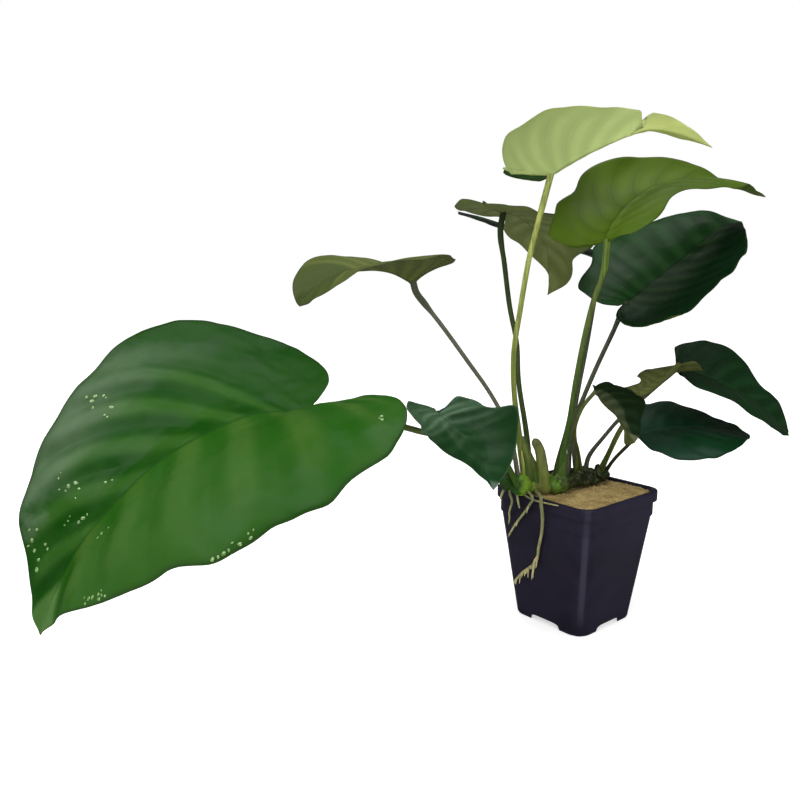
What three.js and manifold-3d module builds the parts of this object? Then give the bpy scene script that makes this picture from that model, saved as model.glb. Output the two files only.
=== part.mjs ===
// Potted anubias barteri: a square nursery pot filled with a block of rooting medium. On the medium
// lies a creeping rhizome that carries twelve stalked leaves, a young shoot and a few roots, some of
// which hang over the rim. Millimetres, +Z up. X and Y run along the pot's walls, and every place
// below is measured from the middle of the pot's foot. At the end the whole plant is moved so that
// zero is at the middle of its bounding box, on the ground.
import * as THREE from "three";
import { mergeVertices } from "three/addons/utils/BufferGeometryUtils.js";
import Module from "manifold-3d";

const wasm = await Module();
wasm.setup();

// Driving dimensions

// gap that every piece keeps to the piece it sits in or on
const clearance = 0.3;

const pot = {
  height: 100,
  rimSide: 90,
  rimHeight: 8,
  collarSide: 86,
  collarHeight: 11,
  wallSide: 84.4,
  footSide: 65,
  cornerRadius: 11,
  wall: 1.2,
  edgeRound: 0.7,
  floorUnderside: 5,
  floorThickness: 1.4,
  archWidth: 28,
  archHeight: 4.4,
  footPad: 15,
  drainRadius: 5,
  drainPlace: 17,
};

const medium = { gap: 0.6, top: 98.4, edgeRound: 1.5 };

// Each station of the rhizome: place of its middle, and its radius there
const rhizomeStations = [
  [-56, 21, 109, 5],
  [-45, 17, 108.4, 7.6],
  [-32, 10, 105.5, 7],
  [-16, 3, 105, 7.8],
  [9, 3, 104.6, 7],
  [27, 2, 104, 6],
  [42, 2, 103, 3],
];

const shoot = {
  path: [[-31, 6, 103], [-32, 6, 113], [-33, 7, 123], [-35, 8, 133], [-39, 10, 141]],
  radii: [5, 4.8, 4.2, 3.8, 3.5, 2.2],
};

const budScale = {
  path: [[-43, 22, 109], [-43, 22, 115], [-44, 22, 121]],
  radii: [1.6, 2, 1.7, 0.9],
};

// Roots: the path of each, and its radius at the rhizome and at its tip
const roots = {
  root_long: {
    path: [
      [-37.5, 9, 103], [-42, 3, 103.2], [-47.5, -5, 102.4], [-49, -7, 97], [-46, -6, 87],
      [-44, -4, 75], [-42, 0, 62], [-41, 2, 53], [-40.5, 6, 47], [-40, 15, 39], [-39, 25, 28],
    ],
    radii: [1.3, 0.9],
  },
  root_straight: {
    path: [
      [-42, 13.5, 105], [-46.5, 7, 103.4], [-48.8, 1, 100], [-48.6, 4, 95], [-46.6, 9, 89],
      [-44, 21, 75], [-42, 30, 62],
    ],
    radii: [1, 0.7],
  },
  root_stub: {
    path: [
      [-48, 18.5, 105.5], [-48.9, 16, 100], [-48.6, 15, 95], [-46.5, 15, 89],
    ],
    radii: [1.1, 0.7],
  },
  root_bent: {
    path: [
      [-52, 20.5, 105], [-51.5, 20.5, 100], [-49.5, 20, 94], [-46.5, 25, 84], [-44, 27, 78],
      [-43.6, 28, 73],
    ],
    radii: [1, 0.6],
  },
  root_rim: {
    path: [
      [-46, 15, 103.5], [-46.8, 10, 100.5], [-46.5, 3, 98.5], [-46.2, -7, 98.6],
      [-46.1, -20, 99.4],
    ],
    radii: [0.8, 0.5],
  },
  root_spike: {
    path: [
      [-57, 20.5, 106], [-59, 21, 102], [-60, 22, 97],
    ],
    radii: [1.2, 0.6],
  },
};

const leafThickness = 0.9;

// Fractions of a leaf's length, tip first, at which its half widths are given
const stations = [0.88, 0.72, 0.52, 0.32, 0.12];

// Each leaf. seat is the place where the stalk meets the blade. heading, pitch and roll turn the blade
// there: heading is the way that the tip points, counted from X, pitch is how far it points up, and
// roll lifts its left half. Pairs and rows of widths give the left half first, seen from the stalk.
// lobe is how far each half reaches back past the stalk, lobePlace how far out its end lies, notch how
// far back the two halves stay joined, and notchOpen how wide the notch between them opens.
// arch is how much the midrib curves down to the tip, lobeDroop how much the lobes curve down, fold and
// cup how each half rises from the midrib and curls on outwards, and twist how the blade turns on its
// way to the tip, all in degrees. tipDrop is how far the last third bends down besides. stalk is the
// path of the stalk, and stalkRadii its radius at the rhizome and below the blade.
const leaves = {
  top_leaf: {
    seat: [-28, 11, 326],
    heading: -71,
    pitch: 29,
    roll: 74,
    length: 97,
    widths: [
      [9, 14, 16, 27, 61],
      [9, 12, 22, 36, 52],
    ],
    lobe: [32, 34],
    lobePlace: [66, 14],
    notch: 2,
    notchOpen: 0.57,
    arch: 42,
    tipDrop: 55,
    lobeDroop: 32,
    fold: [-67, 150],
    cup: [44, -78],
    twist: 3,
    blade: "pale",
    stalk: [
      [-41, 16, 112], [-44, 20, 144], [-47, 23, 176], [-47, 24, 203], [-44, 22, 231],
      [-39, 19, 269], [-35, 15, 294], [-28, 11, 326],
    ],
    stalkRadii: [3.2, 2.2],
    stalkLook: "light",
  },
  upper_right_leaf: {
    seat: [-14, -28, 282],
    heading: 17,
    pitch: 41,
    roll: -41,
    length: 200,
    widths: [
      [27, 41, 47, 52, 47],
      [8, 28, 34, 26, 30],
    ],
    lobe: [4, 3],
    lobePlace: [33, 2],
    notch: 2,
    notchOpen: 0.53,
    arch: 76,
    tipDrop: -7,
    lobeDroop: -109,
    fold: [15, -8],
    cup: [82, -56],
    twist: 15,
    blade: "olive",
    stalk: [
      [-17, 4, 107], [-17, 1, 129], [-17, -4, 153], [-19, -10, 183], [-20, -17, 216],
      [-18, -22, 241], [-15, -27, 261], [-14, -28, 282],
    ],
    stalkRadii: [4.6, 2.5],
    stalkLook: "green",
  },
  dark_back_leaf: {
    seat: [45, -5, 237],
    heading: -11,
    pitch: 28,
    roll: 33,
    length: 142,
    widths: [
      [29, 43, 60, 72, 51],
      [12, 30, 52, 60, 65],
    ],
    lobe: [19, 44],
    lobePlace: [19, 45],
    notch: 2,
    notchOpen: 0.12,
    arch: -11,
    tipDrop: 20,
    lobeDroop: 99,
    fold: [3, 11],
    cup: [-28, 43],
    twist: -7,
    blade: "dark",
    stalk: [
      [9, 7, 107], [8, 10, 130], [11, 12, 148], [18, 8, 171], [27, 4, 193], [35, -1, 214],
      [40, -4, 228], [45, -5, 237],
    ],
    stalkRadii: [3, 2],
    stalkLook: "dark",
  },
  hanging_leaf: {
    seat: [-23, 59, 304],
    heading: 8,
    pitch: -2,
    roll: 21,
    length: 124,
    widths: [
      [1, 26, 34, 25, 43],
      [19, 23, 46, 49, 47],
    ],
    lobe: [27, 27],
    lobePlace: [20, 22],
    notch: 29,
    notchOpen: 0.01,
    arch: 54,
    tipDrop: 13,
    lobeDroop: 69,
    fold: [-11, 15],
    cup: [-17, 1],
    twist: 6,
    blade: "olive",
    stalk: [
      [-32, 18, 109], [-32, 23, 141], [-30, 34, 180], [-25, 41, 206], [-24, 50, 234],
      [-25, 55, 264], [-25, 60, 289], [-23, 59, 304],
    ],
    stalkRadii: [2.3, 1.9],
    stalkLook: "dark",
  },
  left_arching_leaf: {
    seat: [-134, 34, 255],
    heading: 151,
    pitch: 30,
    roll: 9,
    length: 98,
    widths: [
      [7, 15, 24, 26, 67],
      [5, 17, 29, 17, 25],
    ],
    lobe: [7, 5],
    lobePlace: [54, 25],
    notch: 2,
    notchOpen: 0.39,
    arch: 100,
    tipDrop: -15,
    lobeDroop: 71,
    fold: [21, 23],
    cup: [-29, -36],
    twist: -56,
    blade: "olive",
    stalk: [
      [-47, 16, 109], [-60, 15, 149], [-76, 18, 176], [-93, 23, 199], [-113, 30, 226],
      [-125, 33, 240], [-131, 34, 247], [-134, 34, 255],
    ],
    stalkRadii: [1.9, 1.5],
    stalkLook: "dark",
  },
  big_front_leaf: {
    seat: [-238, 3, 185],
    heading: 168,
    pitch: -3,
    roll: -13,
    length: 189,
    widths: [
      [18, 46, 73, 92, 98],
      [19, 48, 72, 95, 100],
    ],
    lobe: [35, 29],
    lobePlace: [58, 37],
    notch: 4,
    notchOpen: 0.15,
    arch: 71,
    tipDrop: 0,
    lobeDroop: 75,
    fold: [39, 7],
    cup: [-61, 10],
    twist: -39,
    blade: "bright",
    stalk: [
      [-52, 13, 108], [-74, 10, 134], [-103, 11, 148], [-144, 12, 160], [-162, 11, 166],
      [-238, 3, 185],
    ],
    stalkRadii: [2.2, 2],
    stalkLook: "green",
  },
  low_front_leaf: {
    seat: [-136, 7, 172],
    heading: -77,
    pitch: -40,
    roll: 69,
    length: 68,
    widths: [
      [12, 26, 42, 29, 22],
      [3, 24, 42, 40, 29],
    ],
    lobe: [0, 13],
    lobePlace: [6, 17],
    notch: 2,
    notchOpen: 0.08,
    arch: -29,
    tipDrop: -10,
    lobeDroop: -20,
    fold: [-19, 63],
    cup: [64, 23],
    twist: -17,
    blade: "dark",
    stalk: [
      [-54, 20, 108], [-74, 11, 144], [-103, 9, 166], [-136, 7, 172],
    ],
    stalkRadii: [1.8, 1.5],
    stalkLook: "dark",
  },
  right_arching_leaf: {
    seat: [81, -29, 186],
    heading: -50,
    pitch: -11,
    roll: 33,
    length: 111,
    widths: [
      [25, 25, 46, 54, 44],
      [18, 31, 41, 40, 41],
    ],
    lobe: [1, 2],
    lobePlace: [13, 9],
    notch: 1,
    notchOpen: 0.09,
    arch: 49,
    tipDrop: -5,
    lobeDroop: 64,
    fold: [-7, 31],
    cup: [-2, -13],
    twist: 13,
    blade: "dark",
    stalk: [
      [14, 3, 106], [18, 4, 119], [29, -1, 134], [42, -8, 150], [58, -18, 166], [81, -29, 186],
    ],
    stalkRadii: [1.9, 1.5],
    stalkLook: "dark",
  },
  small_olive_leaf: {
    seat: [9, -44, 175],
    heading: -11,
    pitch: 22,
    roll: -37,
    length: 57,
    widths: [
      [36, 31, 29, 16, 18],
      [8, 7, 17, 18, 12],
    ],
    lobe: [1, 5],
    lobePlace: [18, 8],
    notch: 2,
    notchOpen: 0.44,
    arch: -13,
    tipDrop: 16,
    lobeDroop: 5,
    fold: [41, -36],
    cup: [-7, 64],
    twist: -17,
    blade: "olive",
    stalk: [
      [29, 2, 104], [25, -9, 123], [13, -26, 145], [9, -37, 160], [9, -44, 175],
    ],
    stalkRadii: [2.6, 1.9],
    stalkLook: "green",
  },
  low_right_leaf: {
    seat: [42, -22, 138],
    heading: -32,
    pitch: 12,
    roll: 19,
    length: 99,
    widths: [
      [13, 19, 41, 39, 37],
      [14, 28, 42, 48, 45],
    ],
    lobe: [6, 3],
    lobePlace: [6, 3],
    notch: 5,
    notchOpen: 0.12,
    arch: 33,
    tipDrop: -1,
    lobeDroop: 60,
    fold: [9, 17],
    cup: [-16, -29],
    twist: -1,
    blade: "dark",
    stalk: [
      [37, 3, 103], [38, -6, 117], [41, -18, 132], [42, -22, 138],
    ],
    stalkRadii: [1.9, 1.4],
    stalkLook: "dark",
  },
  folded_young_leaf: {
    seat: [-19, -27, 178],
    heading: -35,
    pitch: -38,
    roll: -46,
    length: 47,
    widths: [
      [15, 11, 11, 18, 18],
      [7, 13, 28, 29, 27],
    ],
    lobe: [1, 4],
    lobePlace: [3, 8],
    notch: 1,
    notchOpen: 0.07,
    arch: 51,
    tipDrop: -3,
    lobeDroop: 0,
    fold: [76, -2],
    cup: [-46, -45],
    twist: -31,
    blade: "dark",
    stalk: [
      [7, 1, 106], [-5, -4, 128], [-16, -9, 141], [-25, -16, 154], [-25, -22, 168],
      [-19, -27, 178],
    ],
    stalkRadii: [1.5, 1.2],
    stalkLook: "light",
  },
  rear_leaf: {
    seat: [123, 78, 272],
    heading: 114,
    pitch: 15,
    roll: 9,
    length: 141,
    widths: [
      [40, 54, 49, 52, 32],
      [6, 32, 47, 55, 46],
    ],
    lobe: [11, 6],
    lobePlace: [25, 57],
    notch: 7,
    notchOpen: 0.1,
    arch: -4,
    tipDrop: 2,
    lobeDroop: 11,
    fold: [2, -2],
    cup: [-10, 10],
    twist: -2,
    blade: "dark",
    stalk: [
      [1, 9, 105], [13, 18, 123], [48, 40, 154], [102, 71, 200], [120, 78, 242], [123, 78, 272],
    ],
    stalkRadii: [1.9, 1.5],
    stalkLook: "dark",
  },
};

// Small helpers

const radians = THREE.MathUtils.degToRad;
const vector = (place) => new THREE.Vector3(...place);
const flat = (along, across) => new THREE.Vector3(along, across, 0);

// A closed geometry: points that lie together are joined, and triangles without area are dropped.
function closedGeometry(points, triangles) {
  const loose = new THREE.BufferGeometry();
  loose.setFromPoints(points);
  loose.setIndex(triangles.flat());
  const joined = mergeVertices(loose, 1e-3);
  const corners = Array.from(joined.index.array);
  const kept = [];
  for (let i = 0; i < corners.length; i += 3) {
    const [a, b, c] = corners.slice(i, i + 3);
    if (a !== b && b !== c && c !== a) kept.push(a, b, c);
  }
  joined.setIndex(kept);
  return joined;
}

function toSolid(geometry) {
  const bare = geometry.clone();
  bare.deleteAttribute("normal");
  bare.deleteAttribute("uv");
  const joined = mergeVertices(bare, 1e-3);
  return new wasm.Manifold(
    new wasm.Mesh({
      numProp: 3,
      vertProperties: new Float32Array(joined.attributes.position.array),
      triVerts: new Uint32Array(joined.index.array),
    }),
  );
}

function toGeometry(solid) {
  const mesh = solid.getMesh();
  const geometry = new THREE.BufferGeometry();
  geometry.setAttribute("position", new THREE.BufferAttribute(mesh.vertProperties, 3));
  geometry.setIndex(new THREE.BufferAttribute(mesh.triVerts, 1));
  return geometry;
}

// A cut can leave a crumb behind: only the largest body is the piece.
function largestBody(solid) {
  return solid.decompose().sort((a, b) => b.volume() - a.volume())[0];
}

// The two triangles of a four-cornered face.
function quad(a, b, c, d) {
  return [
    [a, b, c],
    [a, c, d],
  ];
}

// Rings of equal length joined one to the next, from the axis out and back to the axis.
function loft(rings) {
  const count = rings[0].length;
  const triangles = [];
  for (let i = 0; i + 1 < rings.length; i += 1) {
    for (let j = 0; j < count; j += 1) {
      const next = (j + 1) % count;
      const here = i * count;
      const there = here + count;
      triangles.push(...quad(here + j, there + j, there + next, here + next));
    }
  }
  return closedGeometry(rings.flat(), triangles);
}

// A round stem of changing radius along a smooth path, closed at both ends. grow makes it that much
// thicker all over, and longer at each end: so a socket is cut that leaves room round a stem.
function stem(places, radiusAt, grow, steps, sides) {
  const path = new THREE.CatmullRomCurve3(places.map(vector), false, "centripetal");
  const across = new THREE.Vector3(1, 0, 0);
  const points = [];
  const triangles = [];
  for (let i = 0; i <= steps; i += 1) {
    const middle = path.getPointAt(i / steps);
    const along = path.getTangentAt(i / steps);
    across.addScaledVector(along, -across.dot(along)).normalize();
    const up = new THREE.Vector3().crossVectors(along, across);
    const radius = radiusAt(i / steps) + grow;
    if (i === 0) middle.addScaledVector(along, -grow);
    if (i === steps) middle.addScaledVector(along, grow);
    for (let j = 0; j < sides; j += 1) {
      const angle = (2 * Math.PI * j) / sides;
      const point = middle.clone();
      point.addScaledVector(across, radius * Math.cos(angle));
      points.push(point.addScaledVector(up, radius * Math.sin(angle)));
      const next = (j + 1) % sides;
      const here = i * sides;
      const there = here + sides;
      if (i < steps) triangles.push(...quad(here + j, here + next, there + next, there + j));
    }
  }
  const last = steps * sides;
  for (let j = 1; j + 1 < sides; j += 1) {
    triangles.push([0, j + 1, j]);
    triangles.push([last, last + j, last + j + 1]);
  }
  return closedGeometry(points, triangles);
}

// A value read between the equal steps of a list.
function between(values, share) {
  const place = Math.min(share, 0.99999) * (values.length - 1);
  const first = Math.floor(place);
  return THREE.MathUtils.lerp(values[first], values[first + 1], place - first);
}

// Pot and medium

// Points round a square with rounded corners, at one height.
function roundedSquare(side, cornerRadius, height) {
  const perCorner = 6;
  const radius = Math.min(cornerRadius, side / 2);
  const reach = side / 2 - radius;
  const ring = [];
  for (let corner = 0; corner < 4; corner += 1) {
    const quarter = (corner * Math.PI) / 2;
    const middleX = reach * Math.sign(Math.cos(quarter + Math.PI / 4));
    const middleY = reach * Math.sign(Math.sin(quarter + Math.PI / 4));
    for (let i = 0; i <= perCorner; i += 1) {
      const angle = quarter + (i / perCorner) * (Math.PI / 2);
      const x = middleX + radius * Math.cos(angle);
      const y = middleY + radius * Math.sin(angle);
      ring.push(new THREE.Vector3(x, y, height));
    }
  }
  return ring;
}

// Side of the wall's outer face at a height below the collar.
function wallSideAt(height) {
  const top = pot.height - pot.rimHeight - pot.collarHeight;
  return THREE.MathUtils.lerp(pot.footSide, pot.wallSide, height / top);
}

function potShell() {
  const { height, rimSide, rimHeight, collarSide, collarHeight, wall, edgeRound } = pot;
  const floorTop = pot.floorUnderside + pot.floorThickness;
  const rimBottom = height - rimHeight;
  const collarBottom = rimBottom - collarHeight;
  const inner = (side) => side - 2 * wall;
  // side and height of each ring, from the middle of the floor up inside, over the rim and back below
  const profile = [
    [0, floorTop],
    [inner(wallSideAt(floorTop)), floorTop],
    [inner(wallSideAt(collarBottom)), collarBottom + 1],
    [inner(collarSide), collarBottom + 2],
    [inner(collarSide), height - edgeRound],
    [inner(collarSide) + 2 * edgeRound, height],
    [rimSide - 2 * edgeRound, height],
    [rimSide, height - edgeRound],
    [rimSide, rimBottom],
    [collarSide, rimBottom],
    [collarSide, collarBottom],
    [wallSideAt(collarBottom - 1), collarBottom - 1],
    [wallSideAt(1), 1],
    [wallSideAt(0) - 1, 0],
    [inner(wallSideAt(0)), 0],
    [inner(wallSideAt(pot.floorUnderside)), pot.floorUnderside],
    [0, pot.floorUnderside],
  ];
  return toSolid(loft(profile.map(([side, z]) => roundedSquare(side, pot.cornerRadius, z))));
}

// Round pads under the four corners of the floor, on which the pot stands.
function footPads() {
  const place = wallSideAt(0) / 2 - pot.wall - pot.footPad / 2;
  const pads = [];
  for (const x of [-place, place]) {
    for (const y of [-place, place]) {
      const heights = [0, pot.floorUnderside + pot.floorThickness / 2];
      const rings = [
        roundedSquare(0, pot.cornerRadius, heights[1]),
        roundedSquare(pot.footPad, pot.footPad / 2, heights[1]),
        roundedSquare(pot.footPad, pot.footPad / 2, heights[0]),
        roundedSquare(0, pot.cornerRadius, heights[0]),
      ];
      const pad = loft(rings);
      pads.push(toSolid(pad.translate(x, y, 0)));
    }
  }
  return pads;
}

// A low arch that runs through two opposite walls below the floor.
function archCut() {
  const outline = new THREE.Shape();
  const half = pot.archWidth / 2;
  outline.moveTo(-half, -1);
  outline.lineTo(half, -1);
  outline.lineTo(half - 1, pot.archHeight - 2);
  outline.quadraticCurveTo(half - 2, pot.archHeight, half - 7, pot.archHeight);
  outline.lineTo(7 - half, pot.archHeight);
  outline.quadraticCurveTo(2 - half, pot.archHeight, 1 - half, pot.archHeight - 2);
  const length = pot.footSide + 10;
  const cut = new THREE.ExtrudeGeometry(outline, { depth: length, bevelEnabled: false, curveSegments: 4 });
  return cut.translate(0, 0, -length / 2).rotateX(Math.PI / 2);
}

function drainCut(x, y) {
  const cut = new THREE.CylinderGeometry(pot.drainRadius, pot.drainRadius, 10, 16);
  return cut.rotateX(Math.PI / 2).translate(x, y, pot.floorUnderside);
}

function potSolid() {
  let solid = potShell();
  for (const pad of footPads()) solid = solid.add(pad);
  solid = solid.subtract(toSolid(archCut()));
  solid = solid.subtract(toSolid(archCut().rotateZ(Math.PI / 2)));
  const drains = [[0, 0]];
  for (const side of [-pot.drainPlace, pot.drainPlace]) drains.push([side, 0], [0, side]);
  for (const [x, y] of drains) solid = solid.subtract(toSolid(drainCut(x, y)));
  return solid;
}

// The block of medium: it fills the pot up to its top, and the rhizome and roots lie in grooves in it.
function mediumSolid(grooves) {
  const bottom = pot.floorUnderside + pot.floorThickness + clearance;
  const neck = pot.height - pot.rimHeight - pot.collarHeight;
  const inset = 2 * (pot.wall + medium.gap);
  const profile = [
    [0, medium.top],
    [pot.collarSide - inset - 2 * medium.edgeRound, medium.top],
    [pot.collarSide - inset, medium.top - medium.edgeRound],
    [pot.collarSide - inset, neck + 3],
    [wallSideAt(neck) - inset, neck],
    [wallSideAt(bottom) - inset, bottom],
    [0, bottom],
  ];
  let solid = toSolid(loft(profile.map(([side, z]) => roundedSquare(side, pot.cornerRadius, z))));
  for (const groove of grooves) solid = solid.subtract(groove);
  return largestBody(solid);
}

// Rhizome, shoot and roots

function rhizomeGeometry(grow) {
  const places = rhizomeStations.map((station) => station.slice(0, 3));
  const radii = rhizomeStations.map((station) => station[3]);
  return stem(places, (share) => between(radii, share), grow, 26, 12);
}

function rootGeometry(root, grow) {
  const [first, last] = root.radii;
  const steps = 2 * root.path.length;
  return stem(root.path, (share) => THREE.MathUtils.lerp(first, last, share), grow, steps, 8);
}

function shootGeometry(part, grow) {
  return stem(part.path, (share) => between(part.radii, share), grow, 12, 10);
}

// A stalk is swollen where it leaves the rhizome and has a slightly thicker joint below the blade.
function stalkGeometry(leaf, grow) {
  const [base, top] = leaf.stalkRadii;
  const radiusAt = (share) => {
    const swell = THREE.MathUtils.smoothstep(0.3 - share, 0, 0.3);
    const joint = 0.15 * THREE.MathUtils.smoothstep(share, 0.86, 0.9);
    return THREE.MathUtils.lerp(top, base, swell) * (1 + joint);
  };
  return stem(leaf.stalk, radiusAt, grow, 2 * leaf.stalk.length, 8);
}

// Blades

// Steps along the outline between two marks, and steps from the midrib to the margin.
const outlineSteps = 2;
const crossSteps = 3;
// Marks from the tip to the end of the lobe: up to there a side vein starts ever nearer the stalk.
const marksToLobe = stations.length + 2;
const veinSlant = 1.6;

// The half outline of a blade laid flat: from the tip past the widest place, round the lobe and into
// the notch. along is the way to the tip and across the way out from the midrib.
function halfOutline(leaf, half) {
  const widths = leaf.widths[half];
  const inmost = widths[widths.length - 1];
  const back = leaf.lobe[half];
  const out = leaf.lobePlace[half];
  const shoulder = out + 0.62 * (inmost - out);
  const inner = leaf.notch + 0.4 * (back - leaf.notch);
  const marks = [
    flat(leaf.length, 0),
    ...stations.map((share, i) => flat(share * leaf.length, widths[i])),
    flat(-0.55 * back, shoulder),
    flat(-back, out),
    flat(-inner, leaf.notchOpen * out),
    flat(-leaf.notch, 0),
  ];
  const curve = new THREE.CatmullRomCurve3(marks, false, "centripetal");
  return curve.getPoints(outlineSteps * (marks.length - 1));
}

// The end of a chord of an arc that starts along the first axis: length is the way along the arc.
function chord(length, start, bend) {
  const half = bend / 2;
  const reach = Math.abs(half) < 1e-6 ? length : (length * Math.sin(half)) / half;
  return [reach * Math.cos(start + half), reach * Math.sin(start + half)];
}

// A point of the flat blade in its shape: the midrib arches, the halves fold and cup, the blade twists.
function shapedPoint(leaf, along, across) {
  const half = across > 0 ? 0 : 1;
  const bend = (radians(along < 0 ? leaf.lobeDroop : -leaf.arch) * along) / leaf.length;
  const [forward, rise] = chord(along, 0, bend);
  const tipShare = THREE.MathUtils.clamp((along / leaf.length - 0.65) / 0.35, 0, 1);
  const reach = Math.abs(across);
  const halfWidth = Math.max(...leaf.widths[half]);
  const cup = (radians(leaf.cup[half]) * reach) / halfWidth;
  const [side, lift] = chord(reach, radians(leaf.fold[half]), cup);
  const turn = (radians(leaf.twist) * Math.max(along, 0)) / leaf.length;
  const point = new THREE.Vector3(0, side * Math.sign(across), lift);
  point.applyAxisAngle(new THREE.Vector3(1, 0, 0), turn);
  point.applyAxisAngle(new THREE.Vector3(0, 1, 0), -bend);
  point.x += forward;
  point.z += rise - leaf.tipDrop * tipShare ** 2;
  return point;
}

// The upward normal of the shaped blade, on the midrib the mean of both halves.
function shapedNormal(leaf, along, across) {
  const step = 0.5;
  const slope = (x, y) => {
    const ahead = shapedPoint(leaf, x + step, y).sub(shapedPoint(leaf, x - step, y));
    const aside = shapedPoint(leaf, x, y + step / 2).sub(shapedPoint(leaf, x, y - step / 2));
    return ahead.cross(aside).normalize();
  };
  if (Math.abs(across) > step) return slope(along, across);
  return slope(along, step).add(slope(along, -step)).normalize();
}

// The blade as a closed sheet of a given thickness, placed at its seat.
function bladeGeometry(leaf, thickness) {
  const points = [];
  const triangles = [];
  const columns = crossSteps + 1;
  const lobeRow = marksToLobe * outlineSteps;
  for (const half of [0, 1]) {
    const way = half === 0 ? 1 : -1;
    const first = points.length;
    const outline = halfOutline(leaf, half);
    const corner = (row, column, face) => first + 2 * (row * columns + column) + face;
    const add = (a, b, c, d) => triangles.push(...(half === 0 ? quad(a, b, c, d) : quad(d, c, b, a)));
    outline.forEach((edge, row) => {
      const root = flat(leaf.length * Math.max(1 - row / lobeRow, 0) ** veinSlant, 0);
      for (let column = 0; column < columns; column += 1) {
        const place = root.clone().lerp(edge, column / crossSteps);
        const across = way * place.y;
        const surface = shapedPoint(leaf, place.x, across);
        const normal = shapedNormal(leaf, place.x, across);
        points.push(surface.clone().addScaledVector(normal, thickness / 2));
        points.push(surface.clone().addScaledVector(normal, -thickness / 2));
      }
    });
    for (let row = 0; row + 1 < outline.length; row += 1) {
      for (let column = 0; column < crossSteps; column += 1) {
        const ring = [
          [row, column],
          [row, column + 1],
          [row + 1, column + 1],
          [row + 1, column],
        ];
        add(...ring.map(([r, c]) => corner(r, c, 0)));
        add(...ring.reverse().map(([r, c]) => corner(r, c, 1)));
      }
      const end = crossSteps;
      add(corner(row + 1, end, 0), corner(row, end, 0), corner(row, end, 1), corner(row + 1, end, 1));
    }
  }
  const sheet = closedGeometry(points, triangles);
  sheet.rotateX(radians(leaf.roll)).rotateY(radians(-leaf.pitch)).rotateZ(radians(leaf.heading));
  return sheet.translate(...leaf.seat);
}

// Materials

const finish = (color, roughness) => new THREE.MeshStandardMaterial({ color, roughness, metalness: 0 });
const potFinish = finish("#24222f", 0.45);
const mediumFinish = finish("#a58c5f", 0.95);
const rhizomeFinish = finish("#6c8f35", 0.5);
const shootFinish = finish("#8a9a4c", 0.5);
const scaleFinish = finish("#c9c19a", 0.7);
const rootFinish = finish("#a3a678", 0.6);
const bladeFinishes = {
  pale: finish("#aabe78", 0.5),
  olive: finish("#56732b", 0.5),
  bright: finish("#3c6e2e", 0.4),
  dark: finish("#1b3827", 0.4),
};
const stalkFinishes = {
  light: finish("#919b4b", 0.5),
  green: finish("#5e7a33", 0.5),
  dark: finish("#47523c", 0.5),
};

// Assembly

const whole = new THREE.Group();

function place(name, solid, material) {
  const mesh = new THREE.Mesh(toGeometry(solid), material);
  mesh.name = name;
  whole.add(mesh);
}

const grown = Object.entries(leaves);
const rootList = Object.entries(roots);
let rhizome = toSolid(rhizomeGeometry(0));
for (const [, leaf] of grown) rhizome = rhizome.subtract(toSolid(stalkGeometry(leaf, clearance)));
for (const [, root] of rootList) rhizome = rhizome.subtract(toSolid(rootGeometry(root, clearance)));
for (const part of [shoot, budScale]) rhizome = rhizome.subtract(toSolid(shootGeometry(part, clearance)));

const grooves = [toSolid(rhizomeGeometry(clearance))];
for (const [, root] of rootList) grooves.push(toSolid(rootGeometry(root, clearance)));
for (const [, leaf] of grown) grooves.push(toSolid(stalkGeometry(leaf, clearance)));

place("pot", potSolid(), potFinish);
place("growing_medium", mediumSolid(grooves), mediumFinish);
place("rhizome", largestBody(rhizome), rhizomeFinish);
place("young_shoot", toSolid(shootGeometry(shoot, 0)), shootFinish);
place("bud_scale", toSolid(shootGeometry(budScale, 0)), scaleFinish);
for (const [name, root] of rootList) place(name, toSolid(rootGeometry(root, 0)), rootFinish);

// A stalk ends just under its blade, and a blade stays whole.
for (const [name, leaf] of grown) {
  const blade = toSolid(bladeGeometry(leaf, leafThickness));
  const room = toSolid(bladeGeometry({ ...leaf, notch: leaf.notch + 5 }, leafThickness + 4 * clearance));
  const stalk = largestBody(toSolid(stalkGeometry(leaf, 0)).subtract(room));
  place(name, blade, bladeFinishes[leaf.blade]);
  place(name + "_stalk", stalk, stalkFinishes[leaf.stalkLook]);
}

const box = new THREE.Box3().setFromObject(whole);
const middle = box.getCenter(new THREE.Vector3());
whole.position.set(-middle.x, -middle.y, -box.min.z);

export default whole;
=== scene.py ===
# %% [markdown]
# # Potted anubias
# A young anubias stands in a square nursery pot. Its creeping rhizome lies on the rooting medium and
# sends up twelve long-stalked leaves. This lesson builds every visible piece round the measured solids:
# first the helpers, then the skins, then pot, medium, rhizome, roots, stalks, leaves and water drops,
# and last the light, the floor and the camera.

# %% The measured frame
import math
from collections import namedtuple

import bmesh
import bpy
import numpy as np
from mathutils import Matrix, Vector, noise


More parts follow.
